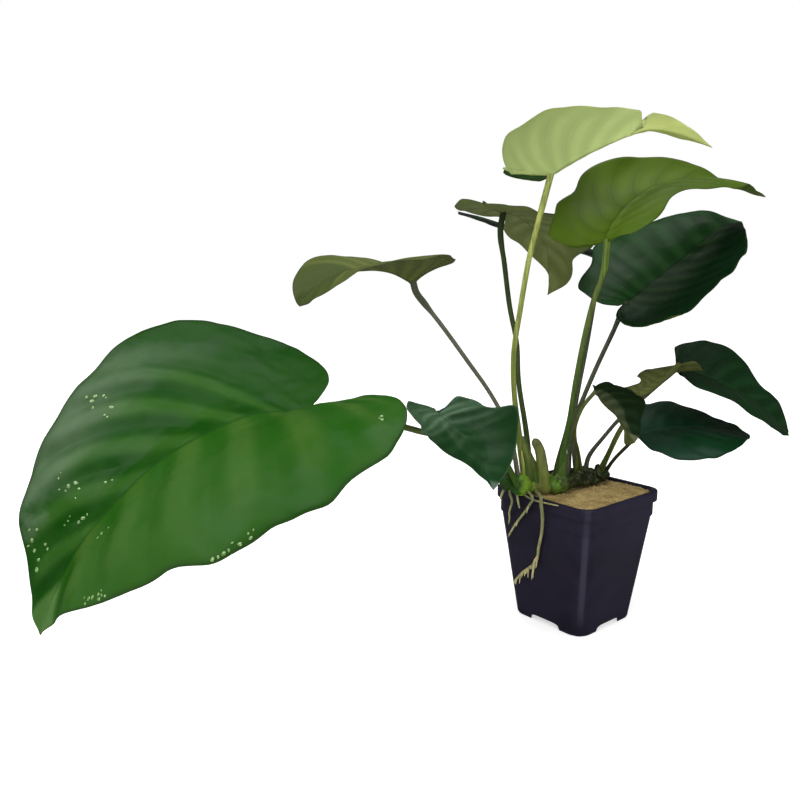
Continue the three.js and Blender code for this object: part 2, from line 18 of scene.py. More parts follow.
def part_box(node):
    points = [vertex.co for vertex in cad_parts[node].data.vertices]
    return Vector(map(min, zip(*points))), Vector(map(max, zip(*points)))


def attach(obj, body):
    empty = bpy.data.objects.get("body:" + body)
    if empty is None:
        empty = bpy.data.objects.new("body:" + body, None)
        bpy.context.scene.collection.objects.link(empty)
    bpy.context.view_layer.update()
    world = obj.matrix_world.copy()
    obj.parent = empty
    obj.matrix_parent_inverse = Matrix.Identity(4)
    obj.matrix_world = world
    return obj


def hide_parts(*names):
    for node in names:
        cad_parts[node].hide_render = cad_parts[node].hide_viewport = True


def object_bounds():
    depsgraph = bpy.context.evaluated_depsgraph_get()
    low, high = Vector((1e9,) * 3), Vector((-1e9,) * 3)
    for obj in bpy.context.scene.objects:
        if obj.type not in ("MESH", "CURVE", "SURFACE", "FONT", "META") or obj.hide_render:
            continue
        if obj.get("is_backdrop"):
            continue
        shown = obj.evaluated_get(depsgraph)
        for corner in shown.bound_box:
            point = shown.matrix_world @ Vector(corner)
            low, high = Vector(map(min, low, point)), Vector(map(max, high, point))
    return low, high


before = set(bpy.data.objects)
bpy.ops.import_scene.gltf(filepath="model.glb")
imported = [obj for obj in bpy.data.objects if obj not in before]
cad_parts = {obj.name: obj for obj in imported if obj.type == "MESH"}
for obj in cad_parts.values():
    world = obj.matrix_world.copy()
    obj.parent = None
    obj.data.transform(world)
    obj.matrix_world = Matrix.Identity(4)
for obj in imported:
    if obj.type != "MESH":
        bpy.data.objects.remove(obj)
cad_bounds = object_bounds()
pot_low, pot_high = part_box("pot")
pot_middle = np.array([(pot_low.x + pot_high.x) / 2, (pot_low.y + pot_high.y) / 2, pot_low.z])
print("pot stands at", pot_middle.round(4), "and is", round(pot_high.z - pot_low.z, 3), "m high")

# %% [markdown]
# Every listed value below is in millimetres, measured from the middle of the pot's foot, with X and Y
# along the pot's walls. One helper moves such points into the frame's metres and one brings them back.
# Another makes an object from points and faces, so that each piece keeps its place in its mesh.

# %% From the bench to the frame
def in_frame(points):
    return np.asarray(points, float) / 1000 + pot_middle


def on_bench(place):
    return (np.array(place) - pot_middle) * 1000


def link_object(name, data):
    made = bpy.data.objects.new(name, data)
    bpy.context.scene.collection.objects.link(made)
    return made


def make_piece(name, points, faces, materials=()):
    mesh = bpy.data.meshes.new(name)
    mesh.from_pydata([tuple(p) for p in in_frame(points)], [], [tuple(map(int, f)) for f in faces])
    for material in materials:
        mesh.materials.append(material)
    return link_object(name, mesh)


def outward(piece, merge=0.000005):
    """Joins doubled points and turns every face outwards."""
    work = bmesh.new()
    work.from_mesh(piece.data)
    bmesh.ops.remove_doubles(work, verts=work.verts, dist=merge)
    bmesh.ops.dissolve_degenerate(work, edges=work.edges, dist=merge / 5)
    bmesh.ops.recalc_face_normals(work, faces=work.faces)
    work.to_mesh(piece.data)
    work.free()
    piece.data.shade_smooth()


def hand_in(piece, node):
    """The piece stands for a measured node, whose own solid it hides, and moves with the plant."""
    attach(piece, "root")
    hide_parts(node)


def smooth_step(low, high, value):
    """0 below low, 1 above high and a soft rise between; with low above high it falls instead."""
    share = np.clip((np.asarray(value, float) - low) / (high - low), 0, 1)
    return share * share * (3 - 2 * share)


print("helpers ready")

# %% [markdown]
# ## Skins
# A plant's skin is never one flat colour. Tissue is mottled, side veins run through a leaf like ribs,
# and moulded plastic and foam have a fine grain. Each of these effects is a small group of shader nodes
# with its own sockets, built once and placed in every skin that needs it. The shader itself stays in
# the skin.

# %% Shader helpers
def linear(red, green, blue):
    """A colour as an eye reads it on a screen, turned into light by the screen's own curve."""
    light = [((c / 255 + 0.055) / 1.055) ** 2.4 if c > 10 else c / 3294 for c in (red, green, blue)]
    return (*light, 1)


def start_group(name, inputs, outputs):
    """A group of shader nodes whose sockets all carry plain numbers."""
    tree = bpy.data.node_groups.new(name, "ShaderNodeTree")
    for socket, value in inputs.items():
        made = tree.interface.new_socket(name=socket, in_out="INPUT", socket_type="NodeSocketFloat")
        made.default_value = value
    for socket in outputs:
        tree.interface.new_socket(name=socket, in_out="OUTPUT", socket_type="NodeSocketFloat")
    return tree, tree.nodes.new("NodeGroupInput").outputs, tree.nodes.new("NodeGroupOutput").inputs


def add_node(tree, kind, settings=None, **inputs):
    """A node with its settings and inputs. An input goes by its socket's name, or by _ and its number,
    and may be a value or another node's output."""
    node = tree.nodes.new(kind)
    for key, value in (settings or {}).items():
        setattr(node, key, value)
    for key, value in inputs.items():
        index = key[1:] if key.startswith("_") else key.replace("_", " ")
        socket = node.inputs[int(index)] if index.isdigit() else node.inputs[index]
        if isinstance(value, bpy.types.NodeSocket):
            tree.links.new(value, socket)
        else:
            socket.default_value = value
    return node


def maths(tree, operation, *values):
    inputs = {f"_{i}": value for i, value in enumerate(values)}
    return add_node(tree, "ShaderNodeMath", {"operation": operation}, **inputs).outputs[0]


def times(tree, mask, amount):
    return maths(tree, "MULTIPLY", mask, amount)


def remap(tree, value, low, high, to_low=0.0, to_high=1.0):
    settings = {"interpolation_type": "SMOOTHSTEP"}
    inputs = {"Value": value, "_1": low, "_2": high, "_3": to_low, "_4": to_high}
    return add_node(tree, "ShaderNodeMapRange", settings, **inputs).outputs[0]


def mixed(tree, share, first, second):
    """Two colours mixed: all first at a share of 0, all second at 1."""
    node = add_node(tree, "ShaderNodeMix", {"data_type": "RGBA"}, _0=share, _6=first, _7=second)
    return node.outputs[2]


def noise_on(tree, vector, scale, detail):
    inputs = {"Vector": vector, "Scale": scale, "Detail": detail, "Roughness": 0.55}
    return add_node(tree, "ShaderNodeTexNoise", **inputs).outputs[0]


print("shader helpers ready")

# %% [markdown]
# Tissue, rind and moulded plastic all show soft patches of a second tone and a finer speckle that
# catches the light. One group makes both from noise. It reads Object coordinates, so the patches keep
# their size on every piece, and each skin chooses how coarse they are.

# %% Mottle group
inputs = {"Patch Scale": 40.0, "Grain Scale": 600.0}
mottle, into, out_of = start_group("mottle", inputs, ["Patches", "Grain"])
place = add_node(mottle, "ShaderNodeTexCoord").outputs["Object"]
patches = noise_on(mottle, place, into["Patch Scale"], 4.0)
grain = noise_on(mottle, place, into["Grain Scale"], 2.0)
mottle.links.new(remap(mottle, patches, 0.35, 0.65), out_of["Patches"])
mottle.links.new(grain, out_of["Grain"])
print("mottle group has", len(mottle.nodes), "nodes")

# %% [markdown]
# A leaf's map is made for this group: its first number runs across the blade, with the midrib in the
# middle, and its second number is the same all along one side vein and counts from the tip. So a saw
# tooth of the second number finds the side veins, however the leaf is bent.

# %% Side vein group
OUTPUTS = ("Puff", "Vein", "Veinlet", "Midrib", "Margin", "Tip", "Across", "Count")
veins, into, out_of = start_group("side_veins", {"Tip Reach": 0.8, "Last Vein": 9.0}, OUTPUTS)
leaf_map = add_node(veins, "ShaderNodeUVMap", {"uv_map": "leaf_map"}).outputs[0]
leaf_map = add_node(veins, "ShaderNodeSeparateXYZ", Vector=leaf_map)
sideways, counted = leaf_map.outputs[0], leaf_map.outputs[1]
# From 0 on the midrib to 1 at the margin
across = maths(veins, "ABSOLUTE", maths(veins, "MULTIPLY_ADD", sideways, 2.0, -1.0))
# 0 on a side vein and 0.5 midway between two
tooth = maths(veins, "PINGPONG", counted, 0.5)
# Side veins fade toward the margin, and beyond the last one
beyond = maths(veins, "SUBTRACT", counted, into["Last Vein"])
near_margin = remap(veins, across, 0.6, 1.0, 1.0, 0.3)
fade = times(veins, near_margin, remap(veins, beyond, -1.2, 0.6, 1.0, 0.15))
# The finest veins are noise on the map itself, so they bend with the leaf
streak_place = {"X": times(veins, across, 9.0), "Y": times(veins, counted, 7.0)}
streak_place = add_node(veins, "ShaderNodeCombineXYZ", **streak_place).outputs[0]
streaks = noise_on(veins, streak_place, 1.0, 2.0)
found = {
    "Puff": times(veins, remap(veins, tooth, 0.05, 0.42), fade),
    "Vein": times(veins, remap(veins, tooth, 0.0, 0.07, 1.0, 0.0), fade),
    "Veinlet": remap(veins, streaks, 0.42, 0.62),
    "Midrib": remap(veins, across, 0.0, 0.03, 1.0, 0.0),
    "Margin": remap(veins, across, 0.94, 1.0),
    "Tip": remap(veins, maths(veins, "SUBTRACT", into["Tip Reach"], counted), 0.0, 0.3),
    "Across": sideways,
    "Count": counted,
}
for name in OUTPUTS:
    veins.links.new(found[name], out_of[name])
print("side vein group has", len(veins.nodes), "nodes")

# %% [markdown]
# A skin starts as an empty material with a Principled shader. Its even values, such as the gloss of
# the waxy coat, sit on the shader's own sockets. Only what changes over the surface is linked.

# %% Skin helpers
def start_skin(name, roughness, specular):
    skin = bpy.data.materials.new(name)
    skin.use_nodes = True
    shader = skin.node_tree.nodes["Principled BSDF"]
    shader.inputs["Roughness"].default_value = roughness
    shader.inputs["Specular IOR Level"].default_value = specular
    return skin, skin.node_tree, shader


def place_group(tree, group, **values):
    """A group placed in a skin, with its input sockets set."""
    return add_node(tree, "ShaderNodeGroup", {"node_tree": group}, **values).outputs


def read_mark(tree, name):
    """The number that the points of a piece carry under this name."""
    return add_node(tree, "ShaderNodeAttribute", {"attribute_name": name}).outputs["Fac"]


def paint(tree, shader, colour, roughness=None):
    """Links what changes over the surface. An even roughness stays on the shader's own socket."""
    tree.links.new(colour, shader.inputs["Base Color"])
    if roughness is not None:
        tree.links.new(roughness, shader.inputs["Roughness"])


def add_bump(tree, shader, height, strength, distance):
    bump = add_node(tree, "ShaderNodeBump", Strength=strength, Distance=distance, Height=height)
    tree.links.new(bump.outputs[0], shader.inputs["Normal"])


print("skin helpers ready")

# %% [markdown]
# One function makes every leaf skin, because both sides of all twelve leaves show the same things in
# other colours. The grooves over the side veins are painted darker, as shade, and the swellings between
# them lighter, as the light they catch. Part of some leaves gets a lighter tone: on most of them it is a
# painted sheen, such as the shine of a wet upper side, and on the folded young leaf's inner side it is a
# paler band along the midrib. It is given by its colour, where it starts and is full across the map, and
# where it starts, is full, fades and ends along the count of side veins. Its edge wavers with the
# patches of the mottle group.

# %% One side of a leaf
VEINLET_SHARE, EDGE_SHARE, MIDRIB_SHARE = 0.12, 0.5, 0.7


def leaf_skin(
    name, groove, puff, midrib, edge, roughness, specular,
    tip=None, tip_reach=0.8, last_vein=9.0, sheen_and_tone=None, lines_shown=0.0,
):
    skin, tree, shader = start_skin(name, roughness, specular)
    soft = place_group(tree, mottle, Patch_Scale=38.0, Grain_Scale=1300.0)
    lines = place_group(tree, veins, Tip_Reach=tip_reach, Last_Vein=last_vein)
    # Painted shade in the grooves over the side veins and painted light on the swellings between them,
    # mixed with mottled patches of tone
    swell_light_and_patches = times(tree, lines["Puff"], lines["Puff"])
    swell_light_and_patches = maths(tree, "MULTIPLY_ADD", swell_light_and_patches, 0.75, times(tree, soft["Patches"], 0.25))
    colour = mixed(tree, swell_light_and_patches, linear(*groove), linear(*puff))
    colour = mixed(tree, times(tree, lines["Veinlet"], VEINLET_SHARE), colour, linear(*groove))
    # A lighter tone on part of the leaf, strongest on the swellings: painted sheen on most skins, a paler
    # band along the midrib on the folded leaf's inner side
    if sheen_and_tone:
        tone, (side_from, side_full), (start, full, fades, ends) = sheen_and_tone
        wavering = maths(tree, "SUBTRACT", lines["Count"], 0.35)
        wavering = maths(tree, "MULTIPLY_ADD", soft["Patches"], 0.7, wavering)
        sheen_and_tone_mask = times(tree, remap(tree, wavering, start, full), remap(tree, wavering, fades, ends, 1.0, 0.0))
        sheen_and_tone_mask = times(tree, sheen_and_tone_mask, remap(tree, lines["Across"], side_from, side_full))
        sheen_and_tone_mask = times(tree, sheen_and_tone_mask, maths(tree, "MULTIPLY_ADD", swell_light_and_patches, 0.65, 0.35))
        colour = mixed(tree, sheen_and_tone_mask, colour, linear(*tone))
    if tip:
        colour = mixed(tree, lines["Tip"], colour, linear(*tip))
    colour = mixed(tree, times(tree, lines["Vein"], lines_shown), colour, linear(*midrib))
    colour = mixed(tree, times(tree, lines["Margin"], EDGE_SHARE), colour, linear(*edge))
    colour = mixed(tree, times(tree, lines["Midrib"], MIDRIB_SHARE), colour, linear(*midrib))
    worn = maths(tree, "MULTIPLY_ADD", soft["Grain"], 0.2, roughness - 0.1)
    paint(tree, shader, colour, maths(tree, "MULTIPLY_ADD", soft["Patches"], 0.1, worn))
    height = maths(tree, "MULTIPLY_ADD", lines["Veinlet"], -0.3, times(tree, soft["Grain"], 0.4))
    height = maths(tree, "MULTIPLY_ADD", lines["Vein"], -0.8, height)
    add_bump(tree, shader, height, 0.2, 0.0004)
    return skin


print("leaf skins can be made")

# %% [markdown]
# Upper sides are waxy and dark. Undersides are paler and matt, with the midrib a darker line. The
# table gives each skin the colours of its grooves, its swellings, its midrib and its edge, and then
# its roughness and its gloss. Leaves of one age share these two, so they get names of their own.

# %% Leaf skins
WAXY, DEEP, MATT, YOUNG = (0.34, 0.1), (0.36, 0.07), (0.5, 0.1), (0.4, 0.1)
# For a lighter tone that covers both halves, and for one that never ends along the count
ALL_ACROSS, NO_END = (-1, 0), (90, 91)
SKINS = {
    # Painted sheen along the margin of the big leaf's far half
    "bright": leaf_skin(
        "leaf_bright_top", (14, 64, 2), (48, 90, 28), (28, 72, 14), (36, 60, 26), *WAXY,
        tip=(70, 108, 48), tip_reach=0.9, last_vein=6.3,
        sheen_and_tone=((100, 120, 94), (0.26, 0.04), (2.5, 3.1, 6.2, 7.4)),
    ),
    # Painted sheen in a band on the big leaf's near half
    "bright_near": leaf_skin(
        "leaf_bright_top_near", (28, 80, 8), (58, 94, 30), (28, 72, 14), (36, 60, 26), *WAXY,
        tip=(78, 114, 58), tip_reach=0.9, sheen_and_tone=((56, 96, 38), (0.52, 0.72), (1.4, 2.0, 3.8, 5.0)),
    ),
    "dark": leaf_skin(
        "leaf_dark_top", (10, 42, 14), (20, 56, 24), (40, 66, 36), (24, 38, 24), *WAXY, last_vein=6.0
    ),
    # Painted sheen toward the base of the dark back leaf
    "dark_sheen": leaf_skin(
        "leaf_dark_top_sheen", (22, 62, 22), (46, 86, 42), (14, 40, 16), (22, 44, 22), *DEEP,
        sheen_and_tone=((56, 82, 56), (0.45, 0.9), (4.2, 6.4, *NO_END)),
    ),
    # A lighter tone along the midrib of the lower half
    "dark_low": leaf_skin(
        "leaf_dark_top_low", (2, 34, 6), (10, 44, 15), (14, 40, 16), (18, 44, 22), *DEEP,
        sheen_and_tone=((46, 72, 42), (0.22, 0.42), (-1, 0, *NO_END)),
    ),
    # Painted sheen over the blade toward its base
    "dark_blue": leaf_skin(
        "leaf_dark_top_blue", (10, 52, 24), (20, 64, 38), (44, 76, 52), (24, 44, 30), *WAXY,
        last_vein=5.0, sheen_and_tone=((42, 66, 56), ALL_ACROSS, (4.4, 6.2, *NO_END)),
    ),
    # Painted sheen toward the base, and a pale edge painted as a highlight
    "teal": leaf_skin(
        "leaf_teal_top", (20, 54, 24), (34, 66, 34), (32, 62, 30), (64, 88, 60), *WAXY,
        tip=(88, 106, 96), tip_reach=0.7, sheen_and_tone=((84, 112, 86), ALL_ACROSS, (4.4, 6.6, *NO_END)),
    ),
    "plain": leaf_skin(
        "leaf_green_top", (26, 52, 16), (36, 64, 22), (44, 72, 30), (40, 60, 30), 0.38, 0.12
    ),
    "pale": leaf_skin(
        "leaf_pale_under", (166, 183, 114), (180, 197, 125), (134, 156, 84), (150, 164, 96), 0.55, 0.12,
        tip=(186, 198, 116), tip_reach=2.3, lines_shown=0.15,
    ),
    "olive": leaf_skin(
        "leaf_olive_under", (68, 92, 12), (76, 100, 18), (44, 62, 14), (60, 78, 26), *MATT,
        tip=(92, 92, 44), tip_reach=0.5, lines_shown=0.4,
    ),
    "dull": leaf_skin(
        "leaf_dull_under", (92, 104, 50), (110, 120, 68), (70, 82, 36), (76, 84, 44), *MATT, lines_shown=0.3
    ),
    "grey": leaf_skin(
        "leaf_grey_under", (76, 86, 40), (90, 100, 48), (60, 68, 34), (60, 68, 38), *MATT,
        tip=(66, 78, 36), tip_reach=3.6, lines_shown=0.25,
    ),
    "soft": leaf_skin("leaf_soft_olive", (76, 84, 40), (96, 102, 56), (60, 64, 32), (70, 72, 40), *MATT),
    # A paler band along the midrib
    "inner": leaf_skin(
        "leaf_folded_inner", (16, 36, 14), (30, 50, 26), (84, 92, 62), (44, 60, 36), *YOUNG,
        tip=(92, 96, 68), tip_reach=0.9, sheen_and_tone=((72, 80, 54), (0.35, 0.42), (0, 0.4, *NO_END)),
    ),
    "rear": leaf_skin("leaf_rear_under", (14, 32, 14), (26, 52, 22), (20, 40, 16), (40, 60, 36), *YOUNG),
}
print("leaf skins:", list(SKINS))

# %% [markdown]
# A stalk or root has one colour at the rhizome and another at its far end, with fine streaks along it.
# Some stalks have a paler joint below the blade. The stem tree further down stores how far along its
# path each point lies, under the name share, and the skin reads its colours from that. The table gives
# the colour at the rhizome, at the far end and of the streaks.

# %% Stem skins
def stem_skin(name, low, high, streak, roughness=0.42, specular=0.25, joint=None):
    skin, tree, shader = start_skin(name, roughness, specular)
    share = read_mark(tree, "share")
    colour = mixed(tree, remap(tree, share, 0.0, 0.85), linear(*low), linear(*high))
    if joint:
        colour = mixed(tree, remap(tree, share, 0.83, 0.88), colour, linear(*joint))
    soft = place_group(tree, mottle, Patch_Scale=120.0, Grain_Scale=1600.0)
    where = add_node(tree, "ShaderNodeTexCoord").outputs["Object"]
    stretched = add_node(tree, "ShaderNodeMapping", Vector=where, Scale=(900.0, 900.0, 22.0)).outputs[0]
    streaks = remap(tree, noise_on(tree, stretched, 1.0, 2.0), 0.4, 0.66)
    colour = mixed(tree, times(tree, streaks, 0.6), colour, linear(*streak))
    colour = mixed(tree, times(tree, soft["Patches"], 0.35), colour, linear(*low))
    paint(tree, shader, colour, maths(tree, "MULTIPLY_ADD", soft["Grain"], 0.2, roughness - 0.1))
    add_bump(tree, shader, maths(tree, "MULTIPLY_ADD", streaks, 0.6, soft["Grain"]), 0.35, 0.0003)
    return skin


STALK_SKINS = {
    "light": stem_skin("stalk_light_green", (98, 112, 40), (176, 184, 98), (74, 90, 34)),
    "green": stem_skin("stalk_mid_green", (60, 92, 24), (96, 108, 52), (46, 64, 24), joint=(104, 124, 50)),
    "forest": stem_skin("stalk_dark_green", (60, 76, 28), (46, 62, 24), (34, 46, 20)),
    "dark": stem_skin("stalk_grey_green", (58, 66, 32), (62, 70, 54), (88, 92, 74)),
    "grey": stem_skin("stalk_grey", (96, 96, 76), (108, 108, 94), (84, 86, 68), joint=(72, 82, 58)),
    "young": stem_skin("stalk_young", (66, 78, 26), (84, 94, 46), (58, 66, 28)),
    "leaf_olive": stem_skin(
        "stalk_olive_green", (66, 84, 28), (104, 118, 54), (56, 68, 28), joint=(96, 112, 60)
    ),
    "purple": stem_skin("stalk_purple_grey", (50, 56, 36), (66, 62, 54), (84, 82, 72)),
    "brown": stem_skin("stalk_brown_olive", (48, 52, 26), (62, 62, 40), (38, 38, 24)),
}
root_tip_skin = stem_skin("root_tip", (206, 196, 136), (236, 228, 176), (160, 152, 104), 0.6, 0.15)
root_skin = stem_skin("root_pale", (118, 126, 86), (196, 188, 132), (98, 102, 68), 0.6, 0.15)
shoot_skin = stem_skin(
    "shoot_olive", (112, 124, 52), (112, 118, 62), (70, 84, 34), 0.45, joint=(96, 96, 62)
)
scale_skin = stem_skin("scale_papery", (176, 172, 130), (206, 200, 166), (140, 130, 92), 0.7, 0.1)
print("stem skins ready")

# %% [markdown]
# The rhizome's colours follow its length: a dark bud, a bright young lump, olive joints and old dark
# knots. A colour ramp over the share of its length holds them all. Old parts are spotted pale, and
# the creases where leaves once sat are nearly black.

# %% Rhizome skin
STOPS = (
    (0.0, (30, 66, 8)), (0.07, (44, 92, 12)), (0.1, (112, 152, 34)), (0.2, (118, 150, 40)),
    (0.23, (96, 92, 40)), (0.25, (134, 138, 76)), (0.3, (124, 130, 66)), (0.33, (84, 116, 34)),
    (0.37, (100, 142, 44)), (0.42, (84, 104, 50)), (0.48, (48, 64, 28)), (0.6, (34, 44, 18)),
    (1.0, (34, 42, 20)),
)
rhizome_skin, tree, shader = start_skin("rhizome_rind", 0.4, 0.3)
share = read_mark(tree, "share")
ramp = add_node(tree, "ShaderNodeValToRGB", Fac=share)
for index, (at, tone) in enumerate(STOPS):
    # A new ramp already has two stops
    stop = ramp.color_ramp.elements[index] if index < 2 else ramp.color_ramp.elements.new(at)
    stop.position = at
    stop.color = linear(*tone)
soft = place_group(tree, mottle, Patch_Scale=200.0, Grain_Scale=1500.0)
spots = place_group(tree, mottle, Patch_Scale=150.0)["Patches"]
colour = mixed(tree, times(tree, soft["Patches"], 0.4), ramp.outputs[0], linear(46, 50, 22))
pale = times(tree, remap(tree, spots, 0.5, 1.0), remap(tree, share, 0.44, 0.54))
colour = mixed(tree, times(tree, pale, 0.5), colour, linear(82, 98, 56))
colour = mixed(tree, times(tree, read_mark(tree, "scar"), 0.7), colour, linear(26, 26, 12))
paint(tree, shader, colour, maths(tree, "MULTIPLY_ADD", soft["Grain"], 0.25, 0.28))
add_bump(tree, shader, maths(tree, "ADD", soft["Grain"], soft["Patches"]), 0.3, 0.0006)
print("rhizome skin ready")

# %% [markdown]
# The pot is moulded black plastic with a blue cast, painted lighter down its corners as a highlight.
# The medium is dry, granular and tan: light grains, dark pits and a strong bump. A real drop of clear
# water would go black here, so the drops are a pale, very glossy skin instead, whose pale colour is painted
# light.

# %% Pot, medium and water skins
pot_skin, tree, shader = start_skin("pot_plastic", 0.38, 0.2)
soft = place_group(tree, mottle, Patch_Scale=26.0, Grain_Scale=2600.0)
colour = mixed(tree, soft["Patches"], linear(31, 27, 43), linear(40, 36, 55))
# A painted highlight down the rounded corners, as strong as the corner marks say
colour = mixed(tree, times(tree, read_mark(tree, "corner"), 0.42), colour, linear(84, 80, 98))
paint(tree, shader, colour, maths(tree, "MULTIPLY_ADD", soft["Patches"], 0.12, 0.32))
add_bump(tree, shader, soft["Grain"], 0.15, 0.0002)

medium_skin, tree, shader = start_skin("medium_foam", 0.95, 0.15)
soft = place_group(tree, mottle, Patch_Scale=90.0, Grain_Scale=900.0)
colour = mixed(tree, soft["Patches"], linear(186, 162, 108), linear(150, 128, 80))
pits = remap(tree, soft["Grain"], 0.58, 0.7)
colour = mixed(tree, times(tree, pits, 0.4), colour, linear(104, 90, 56))
colour = mixed(tree, remap(tree, soft["Grain"], 0.3, 0.44, 0.6, 0.0), colour, linear(206, 188, 144))
paint(tree, shader, colour)
add_bump(tree, shader, soft["Grain"], 0.8, 0.0012)

water_skin, tree, shader = start_skin("water_drop", 0.08, 0.8)
soft = place_group(tree, mottle, Patch_Scale=900.0, Grain_Scale=3000.0)
# The pale colour is painted light, standing in for the bright glints that a clear drop shows
paint(tree, shader, mixed(tree, soft["Patches"], linear(70, 112, 44), linear(150, 180, 120)))
print("pot, medium and water skins ready")

# %% [markdown]
# ## The pot
# The real pot is injection moulded: a square tub with rounded corners, walls that taper to the foot, a
# collar and a rim with a short skirt, four feet with low arches between them and drain holes. A ring of
# points round a rounded square, repeated at each height of the profile and joined, gives the whole
# shell in one go. The arches and holes are then cut through it with Boolean modifiers, because they
# cross the rings at odd places.

# %% Rounded square rings
def rounded_square(side, corner_radius, height, steps=12):
    """A ring of points at a height, with a number of steps in each rounded corner."""
    radius = min(corner_radius, side / 2)
    reach = side / 2 - radius
    ring = []
    for quarter in range(4):
        start = quarter * math.pi / 2
        for i in range(steps + 1):
            angle = start + i / steps * math.pi / 2
            x = reach * (1 if quarter in (0, 3) else -1) + radius * math.cos(angle)
            y = reach * (1 if quarter in (0, 1) else -1) + radius * math.sin(angle)
            ring.append((x, y, height))
    return ring


def loft(rings):
    """Points and faces of rings joined one to the next."""
    count = len(rings[0])
    faces = []
    for i in range(len(rings) - 1):
        for j in range(count):
            here, there, step = i * count, (i + 1) * count, (j + 1) % count
            faces.append((here + j, there + j, there + step, here + step))
    return [p for ring in rings for p in ring], faces


# Outer sides, heights and thicknesses; wall_side is the wall's side just below the collar
POT = dict(
    height=100, rim=90, rim_height=8, collar=86, collar_height=11, wall_side=84.4, foot=65,
    corner=11, wall=1.2, floor_under=5.0, floor_thick=1.4,
)
rim_low = POT["height"] - POT["rim_height"]
collar_low = rim_low - POT["collar_height"]


def wall_side_at(height):
    """Outer side of the tapering wall at a height."""
    return POT["foot"] + (POT["wall_side"] - POT["foot"]) * height / collar_low


print("side of the wall half way up:", round(wall_side_at(40), 1), "mm")

# %% Pot shell
inner = 2 * POT["wall"]
top, rim, collar, collar_inner = POT["height"], POT["rim"], POT["collar"], POT["collar"] - inner
floor_under, floor_top = POT["floor_under"], POT["floor_under"] + POT["floor_thick"]
floor_side, foot_side = wall_side_at(floor_top) - inner, wall_side_at(0)
# Sides and heights from the middle of the floor outwards and up the inside,
profile = [(0, floor_top), (floor_side - 4, floor_top), (floor_side, floor_top + 2)]
profile += [(wall_side_at(z) - inner, z) for z in (20, 40, 60, collar_low)]
profile += [(collar_inner, collar_low + 2), (collar_inner, top - 0.8), (collar_inner + 0.5, top - 0.2)]
# over the rim with its softened edges and down its skirt,
profile += [(collar_inner + 1.4, top), (rim - 1.8, top), (rim - 0.6, top - 0.25), (rim - 0.1, top - 0.8)]
profile += [(rim, top - 1.6), (rim - 0.1, rim_low + 0.6), (rim - 0.5, rim_low + 0.1), (rim - 1.2, rim_low)]
# in to the collar and down it,
profile += [(collar + 0.7, rim_low), (collar + 0.1, rim_low - 0.3), (collar, rim_low - 1)]
profile += [(collar, collar_low + 0.8), (collar - 0.3, collar_low + 0.2)]
# and down the wall, round the foot and up to the floor's underside
profile += [(wall_side_at(collar_low - 0.4) + 0.3, collar_low - 0.4)]
profile += [(wall_side_at(z), z) for z in (collar_low - 1.4, 60, 40, 20, 6, 1.2)]
profile += [(foot_side - 0.5, 0.3), (foot_side - 1.4, 0), (foot_side - inner, 0)]
profile += [(wall_side_at(floor_under) - inner, floor_under), (0, floor_under)]
points, faces = loft([rounded_square(side, POT["corner"], z) for side, z in profile])
pot = make_piece("pot_shell", points, faces, [pot_skin])
outward(pot)
print("pot shell has", len(pot.data.polygons), "faces")

# %% [markdown]
# Four pads fill the corners of the foot, so that the pot stands on small feet. Two long low bars with
# rounded tops cross under the pot and cut the arches between the feet, and five round plugs cut the
# drain holes. The exact solver keeps the shell closed. What the cuts leave is then marked along its
# rounded corners, where the skin paints a highlight.

# %% Feet, arches and drain holes
# Rings of a pad and of a drain plug, each given by side, corner radius and height
PAD_RINGS = ((0, 7.5, 6), (15, 7.5, 6), (15, 7.5, 0.4), (14.2, 7.1, 0), (0, 7.5, 0))
DRAIN_RINGS = ((0, 5, 12), (10, 5, 12), (10, 5, -3), (0, 5, -3))
DRAIN_PLACES = ((0, 0), (17, 0), (-17, 0), (0, 17), (0, -17))


def block(name, rings, middle):
    points, faces = loft([rounded_square(side, corner, z, 6) for side, corner, z in rings])
    piece = make_piece(name, np.asarray(points) + np.asarray(middle), faces)
    outward(piece)
    return piece


def arch_block(turned):
    """A long low bar with a rounded top that runs under the pot from side to side."""
    half, top, reach = 14.0, 4.4, 40
    outline = [(-half, -1), (half, -1), (half - 1, top - 2)]
    for a in (0.3, 0.6, 0.9, 1.2, 1.57):
        outline.append((half - 1 - 6 * (1 - math.cos(a)), top - 2 + 2 * math.sin(a)))
    outline += [(-x, z) for x, z in reversed(outline[2:])]
    points = [(x, y, z) for y in (-reach, reach) for x, z in outline]
    count = len(outline)
    faces = [(j, (j + 1) % count, count + (j + 1) % count, count + j) for j in range(count)]
    faces += [tuple(range(count))[::-1], tuple(range(count, 2 * count))]
    if turned:
        points = [(-y, x, z) for x, y, z in points]
    piece = make_piece("arch", points, faces)
    outward(piece)
    return piece


def evaluated_mesh(piece):
    """The plain mesh that the piece's modifiers make of it."""
    bpy.context.view_layer.update()
    evaluated = piece.evaluated_get(bpy.context.evaluated_depsgraph_get())
    return bpy.data.meshes.new_from_object(evaluated)


def apply_boolean(piece, tool, operation):
    modifier = piece.modifiers.new(operation.lower(), "BOOLEAN")
    modifier.object = tool
    modifier.operation = operation
    modifier.solver = "EXACT"
    mesh = evaluated_mesh(piece)
    piece.modifiers.clear()
    piece.data = mesh
    bpy.data.objects.remove(tool)


